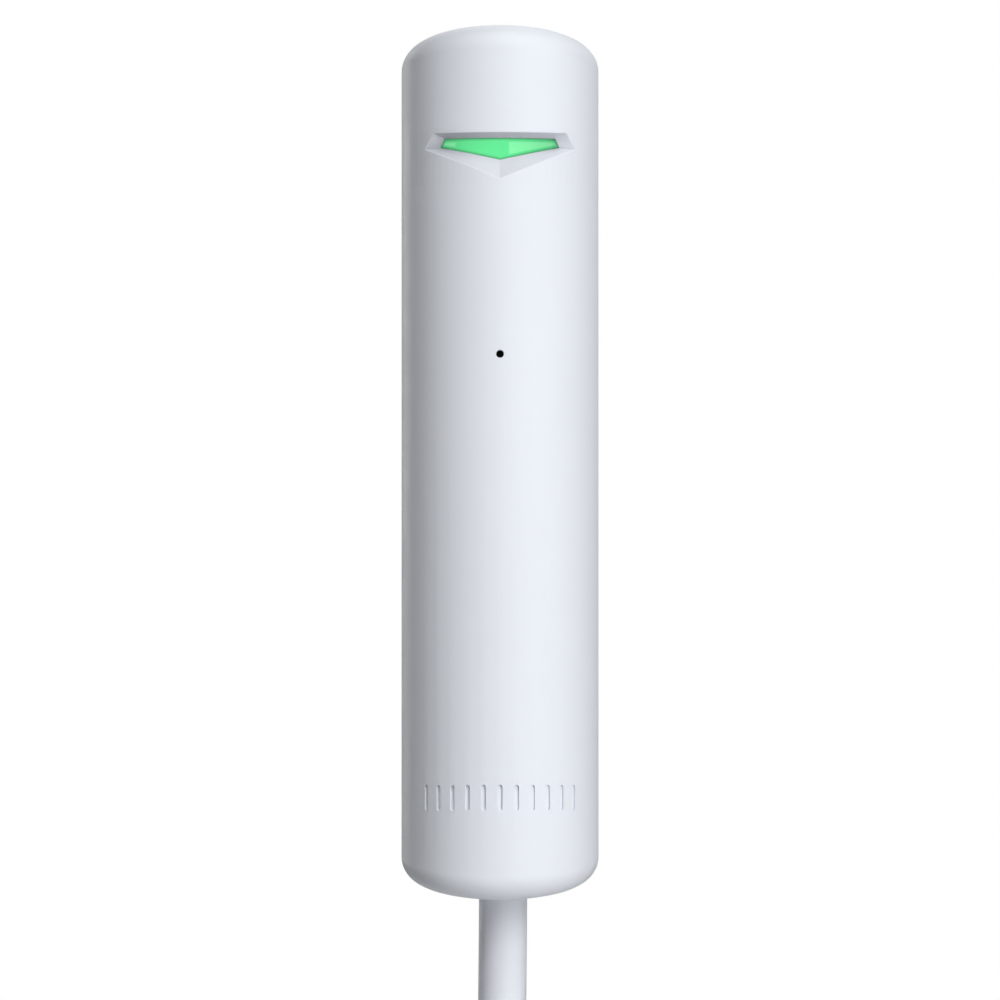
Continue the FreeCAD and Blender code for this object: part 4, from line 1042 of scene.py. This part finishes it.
def strand_tree():
    """Lays round strands about a middle one along each line, with a twist."""
    inputs = {"Strand Radius": "NodeSocketFloat", "Outer Strands": "NodeSocketInt"}
    inputs |= {"Twist": "NodeSocketFloat", "Steps": "NodeSocketInt", "Material": "NodeSocketMaterial"}
    tree, start = new_tree("strand_lay", inputs)
    line = add_node(tree, "GeometryNodeMeshToCurve", Mesh=start["Geometry"])
    fine = add_node(tree, "GeometryNodeResampleCurve", Curve=line.outputs["Curve"], Count=start["Steps"])
    share = add_node(tree, "GeometryNodeSplineParameter")
    tilt = add_node(tree, "ShaderNodeMath", {"operation": "MULTIPLY"})
    tree.links.new(share.outputs["Factor"], tilt.inputs[0])
    tree.links.new(start["Twist"], tilt.inputs[1])
    turned = add_node(
        tree, "GeometryNodeSetCurveTilt", Curve=fine.outputs["Curve"], Tilt=tilt.outputs["Value"]
    )
    ring_radius = add_node(tree, "ShaderNodeMath", {"operation": "MULTIPLY"})
    tree.links.new(start["Strand Radius"], ring_radius.inputs[0])
    ring_radius.inputs[1].default_value = 2.0
    strand = add_node(tree, "GeometryNodeCurvePrimitiveCircle", Resolution=8, Radius=start["Strand Radius"])
    ring = add_node(
        tree,
        "GeometryNodeCurvePrimitiveCircle",
        Resolution=start["Outer Strands"],
        Radius=ring_radius.outputs["Value"],
    )
    outer = add_node(
        tree, "GeometryNodeInstanceOnPoints", Points=ring.outputs["Curve"], Instance=strand.outputs["Curve"]
    )
    both = add_node(tree, "GeometryNodeJoinGeometry")
    tree.links.new(outer.outputs["Instances"], both.inputs["Geometry"])
    tree.links.new(strand.outputs["Curve"], both.inputs["Geometry"])
    section = add_node(tree, "GeometryNodeRealizeInstances", Geometry=both.outputs["Geometry"])
    sweep = add_node(
        tree,
        "GeometryNodeCurveToMesh",
        Curve=turned.outputs["Curve"],
        Profile_Curve=section.outputs["Geometry"],
        Fill_Caps=True,
    )
    return close_tree(tree, sweep.outputs["Mesh"], start["Material"])


def grow(context, name, lines, tree, values):
    """Runs a node group on open lines and keeps its result as a plain mesh."""
    mesh = bpy.data.meshes.new(name + "_lines")
    rows, edges = [], []
    for line in lines:
        first = len(rows)
        rows += line
        edges += [(first + i, first + i + 1) for i in range(len(line) - 1)]
    mesh.from_pydata(rows, edges, [])
    maker = bpy.data.objects.new(name + "_lines", mesh)
    context.scene.collection.objects.link(maker)
    modifier = maker.modifiers.new("Sweep", "NODES")
    modifier.node_group = tree
    for item in tree.interface.items_tree:
        if item.name in values:
            modifier[item.identifier] = values[item.name]
    shown = maker.evaluated_get(context.evaluated_depsgraph_get())
    grown = bpy.data.meshes.new_from_object(shown)
    if not grown.polygons:
        raise RuntimeError(f"{name} came out empty")
    piece = bpy.data.objects.new(name, grown)
    grown.name = name
    for face in grown.polygons:
        face.use_smooth = True
    grown.set_sharp_from_angle(angle=SHARP_ANGLE)
    bpy.data.objects.remove(maker)
    context.scene.collection.objects.link(piece)
    return piece


class SENSOR_OT_wrap_strap(bpy.types.Operator):
    """Wrap the hook-and-loop strap round the hank's waist"""

    bl_idname = "sensor.wrap_strap"
    bl_label = "Wrap Strap"

    def execute(self, context):
        cable, strap = context.scene.sensor_cable, context.scene.sensor_strap
        values = {
            "Width": strap.width,
            "Thickness": strap.thickness,
            "Rounding": 0.3 * strap.thickness,
            "Material": loop_pile("strap_pile", strap.colour),
        }
        piece = grow(context, "hank_strap", [strap_path(cable, strap)], strap_tree(), values)
        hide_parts("hank_tie")
        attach(piece, "sensor")
        return {"FINISHED"}


# Strands at the bare end

CORE_PLACES = ((-1, 1), (-1, -1), (1, -1), (1, 1))
CORE_OFFSET = 0.7 * MM
CORE_SPREAD = 1.6 * MM
CORE_SLANT = 8.4 * MM
CORE_LENGTH = 12.0 * MM
TIP_SET = 0.3 * MM
STRAND_STEPS = 28


def tip_lines(strands):
    """The middle line of each bare tip, from just inside its insulation."""
    lines = []
    for side, back in CORE_PLACES:
        run = Vector((side * CORE_SPREAD, back * CORE_SPREAD, -CORE_SLANT)).normalized()
        start = Vector((
            CABLE_X + side * (CORE_OFFSET + CORE_SPREAD),
            CABLE_Y + back * (CORE_OFFSET + CORE_SPREAD),
            TAIL_END_Z - CORE_LENGTH,
        ))
        lines.append([tuple(start - TIP_SET * run), tuple(start + strands.length * run)])
    return lines


class SENSOR_OT_twist_strands(bpy.types.Operator):
    """Twist the bare copper strands at the cable's stripped end"""

    bl_idname = "sensor.twist_strands"
    bl_label = "Twist Strands"

    def execute(self, context):
        strands = context.scene.sensor_strands
        values = {
            "Strand Radius": strands.radius,
            "Outer Strands": strands.count,
            "Twist": strands.twist,
            "Steps": STRAND_STEPS,
            "Material": bare_metal("copper_strand", (0.80, 0.40, 0.23), 0.3, (1, 1, 0.2)),
        }
        piece = grow(context, "copper_strands", tip_lines(strands), strand_tree(), values)
        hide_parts("copper_tips")
        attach(piece, "sensor")
        return {"FINISHED"}


# Studio


def aim(piece, target):
    """Turns a lamp or the camera towards a point."""
    piece.rotation_euler = (Vector(target) - piece.location).to_track_quat("-Z", "Y").to_euler()


LAMPS = {
    # Azimuth (right is positive), elevation, distance, width, height, power, spread, seen in reflections
    "strip": (44, 4, 1.0, 1.25, 0.125, 1.35, 180, True),
    "front": (25, 22, 1.0, 0.42, 0.42, 4.45, 180, False),
    "side_strip": (-71, 5, 1.0, 0.36, 0.08, 0.2, 180, True),
    "back_left": (-143, 10, 1.0, 0.42, 0.42, 1.12, 180, True),
    "back_right": (150, 12, 1.0, 0.42, 0.42, 0.3, 180, True),
    "over": (15, 70, 1.0, 0.55, 0.4, 1.9, 180, False),
    "high_right": (20, 45, 1.0, 0.5, 0.5, 2.4, 180, False),
    "high_left": (-30, 45, 1.0, 0.5, 0.5, 1.1, 180, False),
    "high_back": (180, 45, 1.0, 0.5, 0.5, 5.0, 180, False),
    "low": (40, -30, 0.42, 0.2, 0.1, 0.05, 60, False),
}
AIM_Z = -3.625 * MM
FLOOR_HALF = 2.0
FLOOR_SHADES = ((0.50, 0.50, 0.50), (0.53, 0.53, 0.53))
FLOOR_GLOW_NEAR = (0.5, 0.33)
FLOOR_GLOW_FAR = (1.7, 0.75)


class SENSOR_OT_build_stage(bpy.types.Operator):
    """Set the floor, the white backdrop, the soft lamps and the camera"""

    bl_idname = "sensor.build_stage"
    bl_label = "Build Stage"

    def execute(self, context):
        stage = context.scene.sensor_stage
        scene = context.scene
        scene.view_settings.view_transform = "Standard"
        self.build_world(scene, stage)
        self.build_floor(scene, stage)
        middle = Vector((0, COLUMN_AXIS_Y, AIM_Z))
        for name, lamp in LAMPS.items():
            self.build_lamp(scene, stage, name, lamp, middle)
        self.build_camera(scene, stage, middle)
        return {"FINISHED"}

    def build_world(self, scene, stage):
        """White to the camera, dimmer in reflections and dark elsewhere."""
        world = bpy.data.worlds.new("studio")
        world.use_nodes = True
        nodes, links = world.node_tree.nodes, world.node_tree.links
        background = nodes["Background"]
        background.inputs["Color"].default_value = (1, 1, 1, 1)
        path = nodes.new("ShaderNodeLightPath")
        rays = {"Is Camera Ray": 1.0, "Is Transmission Ray": 1.0, "Is Glossy Ray": stage.reflected}
        total = None
        for ray, level in rays.items():
            step = nodes.new("ShaderNodeMath")
            step.operation = "MULTIPLY_ADD"
            step.use_clamp = True
            links.new(path.outputs[ray], step.inputs[0])
            step.inputs[1].default_value = level
            step.inputs[2].default_value = 0.0
            if total:
                links.new(total, step.inputs[2])
            total = step.outputs["Value"]
        links.new(total, background.inputs["Strength"])
        scene.world = world

    def build_floor(self, scene, stage):
        """A plain pale floor with a glow that only the camera sees and that is weaker near the object."""
        ways = ((-1, -1), (1, -1), (1, 1), (-1, 1))
        corners = [(x * FLOOR_HALF, y * FLOOR_HALF, stage.floor_height) for x, y in ways]
        mesh = bpy.data.meshes.new("floor")
        mesh.from_pydata(corners, [], [(0, 1, 2, 3)])
        floor = bpy.data.objects.new("floor", mesh)
        scene.collection.objects.link(floor)
        finish = Finish("floor_paint", IOR=1.45, Roughness=0.8)
        cloud = finish.noise(0.4, 3.0)
        finish.paint(cloud, *FLOOR_SHADES)
        reach = finish.node("ShaderNodeVectorMath", operation="LENGTH")
        finish.link(finish.place, reach.inputs[0])
        (near, near_glow), (far, far_glow) = FLOOR_GLOW_NEAR, FLOOR_GLOW_FAR
        glow = finish.spread(reach.outputs["Value"], near, far, near_glow, far_glow)
        path = finish.node("ShaderNodeLightPath")
        finish.feed(finish.combine("MULTIPLY", path.outputs["Is Camera Ray"], glow), "Emission Strength")
        finish.fix("Emission Color", (1, 1, 1, 1))
        mesh.materials.append(finish.material)

    def build_lamp(self, scene, stage, name, lamp, middle):
        azimuth, elevation, distance, width, height, power, spread, shows = lamp
        light = bpy.data.lights.new(name, "AREA")
        light.shape = "RECTANGLE"
        light.size = width
        light.size_y = height
        light.energy = power * stage.lamp_level
        light.spread = math.radians(spread)
        piece = bpy.data.objects.new(name, light)
        turn, rise = math.radians(azimuth), math.radians(elevation)
        way = Vector((math.sin(turn) * math.cos(rise), -math.cos(turn) * math.cos(rise), math.sin(rise)))
        piece.location = middle + distance * way
        aim(piece, middle)
        piece.visible_camera = False
        piece.visible_glossy = shows
        scene.collection.objects.link(piece)

    def build_camera(self, scene, stage, middle):
        lens = bpy.data.cameras.new("camera")
        lens.sensor_width = 36.0
        lens.lens = lens.sensor_width * stage.camera_distance / stage.frame_width
        lens.clip_start = 0.01
        camera = bpy.data.objects.new("camera", lens)
        tilt = stage.camera_tilt
        camera.location = middle + stage.camera_distance * Vector((0, -math.cos(tilt), -math.sin(tilt)))
        aim(camera, middle)
        scene.collection.objects.link(camera)
        scene.camera = camera


class SENSOR_PT_sidebar(bpy.types.Panel):
    """The sensor's settings and the steps that dress it"""

    bl_idname = "SENSOR_PT_sidebar"
    bl_label = "Glass Break Sensor"
    bl_space_type = "VIEW_3D"
    bl_region_type = "UI"
    bl_category = "Sensor"

    def draw(self, context):
        for name, steps in STEPS.items():
            box = self.layout.box()
            settings = getattr(context.scene, name)
            for label in SETTINGS[name].__annotations__:
                box.prop(settings, label)
            for step in steps:
                box.operator(step)


SETTINGS = {
    "sensor_housing": HousingSettings,
    "sensor_window": WindowSettings,
    "sensor_cable": CableSettings,
    "sensor_strap": StrapSettings,
    "sensor_strands": StrandSettings,
    "sensor_stage": StageSettings,
}
STEPS = {
    "sensor_housing": ["sensor.finish_housing", "sensor.finish_board", "sensor.finish_wiring"],
    "sensor_window": ["sensor.light_window"],
    "sensor_cable": ["sensor.lay_cable"],
    "sensor_strap": ["sensor.wrap_strap"],
    "sensor_strands": ["sensor.twist_strands"],
    "sensor_stage": ["sensor.build_stage"],
}
OPERATORS = [
    SENSOR_OT_build_stage,
    SENSOR_OT_lay_cable,
    SENSOR_OT_wrap_strap,
    SENSOR_OT_twist_strands,
    SENSOR_OT_finish_housing,
    SENSOR_OT_light_window,
    SENSOR_OT_finish_board,
    SENSOR_OT_finish_wiring,
]


def register():
    for kind in [*SETTINGS.values(), *OPERATORS, SENSOR_PT_sidebar]:
        bpy.utils.register_class(kind)
    for name, kind in SETTINGS.items():
        setattr(bpy.types.Scene, name, bpy.props.PointerProperty(type=kind))


def unregister():
    for name in SETTINGS:
        delattr(bpy.types.Scene, name)
    for kind in reversed([*SETTINGS.values(), *OPERATORS, SENSOR_PT_sidebar]):
        bpy.utils.unregister_class(kind)


def main():
    register()
    for operator in OPERATORS:
        category, name = operator.bl_idname.split(".")
        getattr(getattr(bpy.ops, category), name)()


if __name__ == "__main__":
    main()
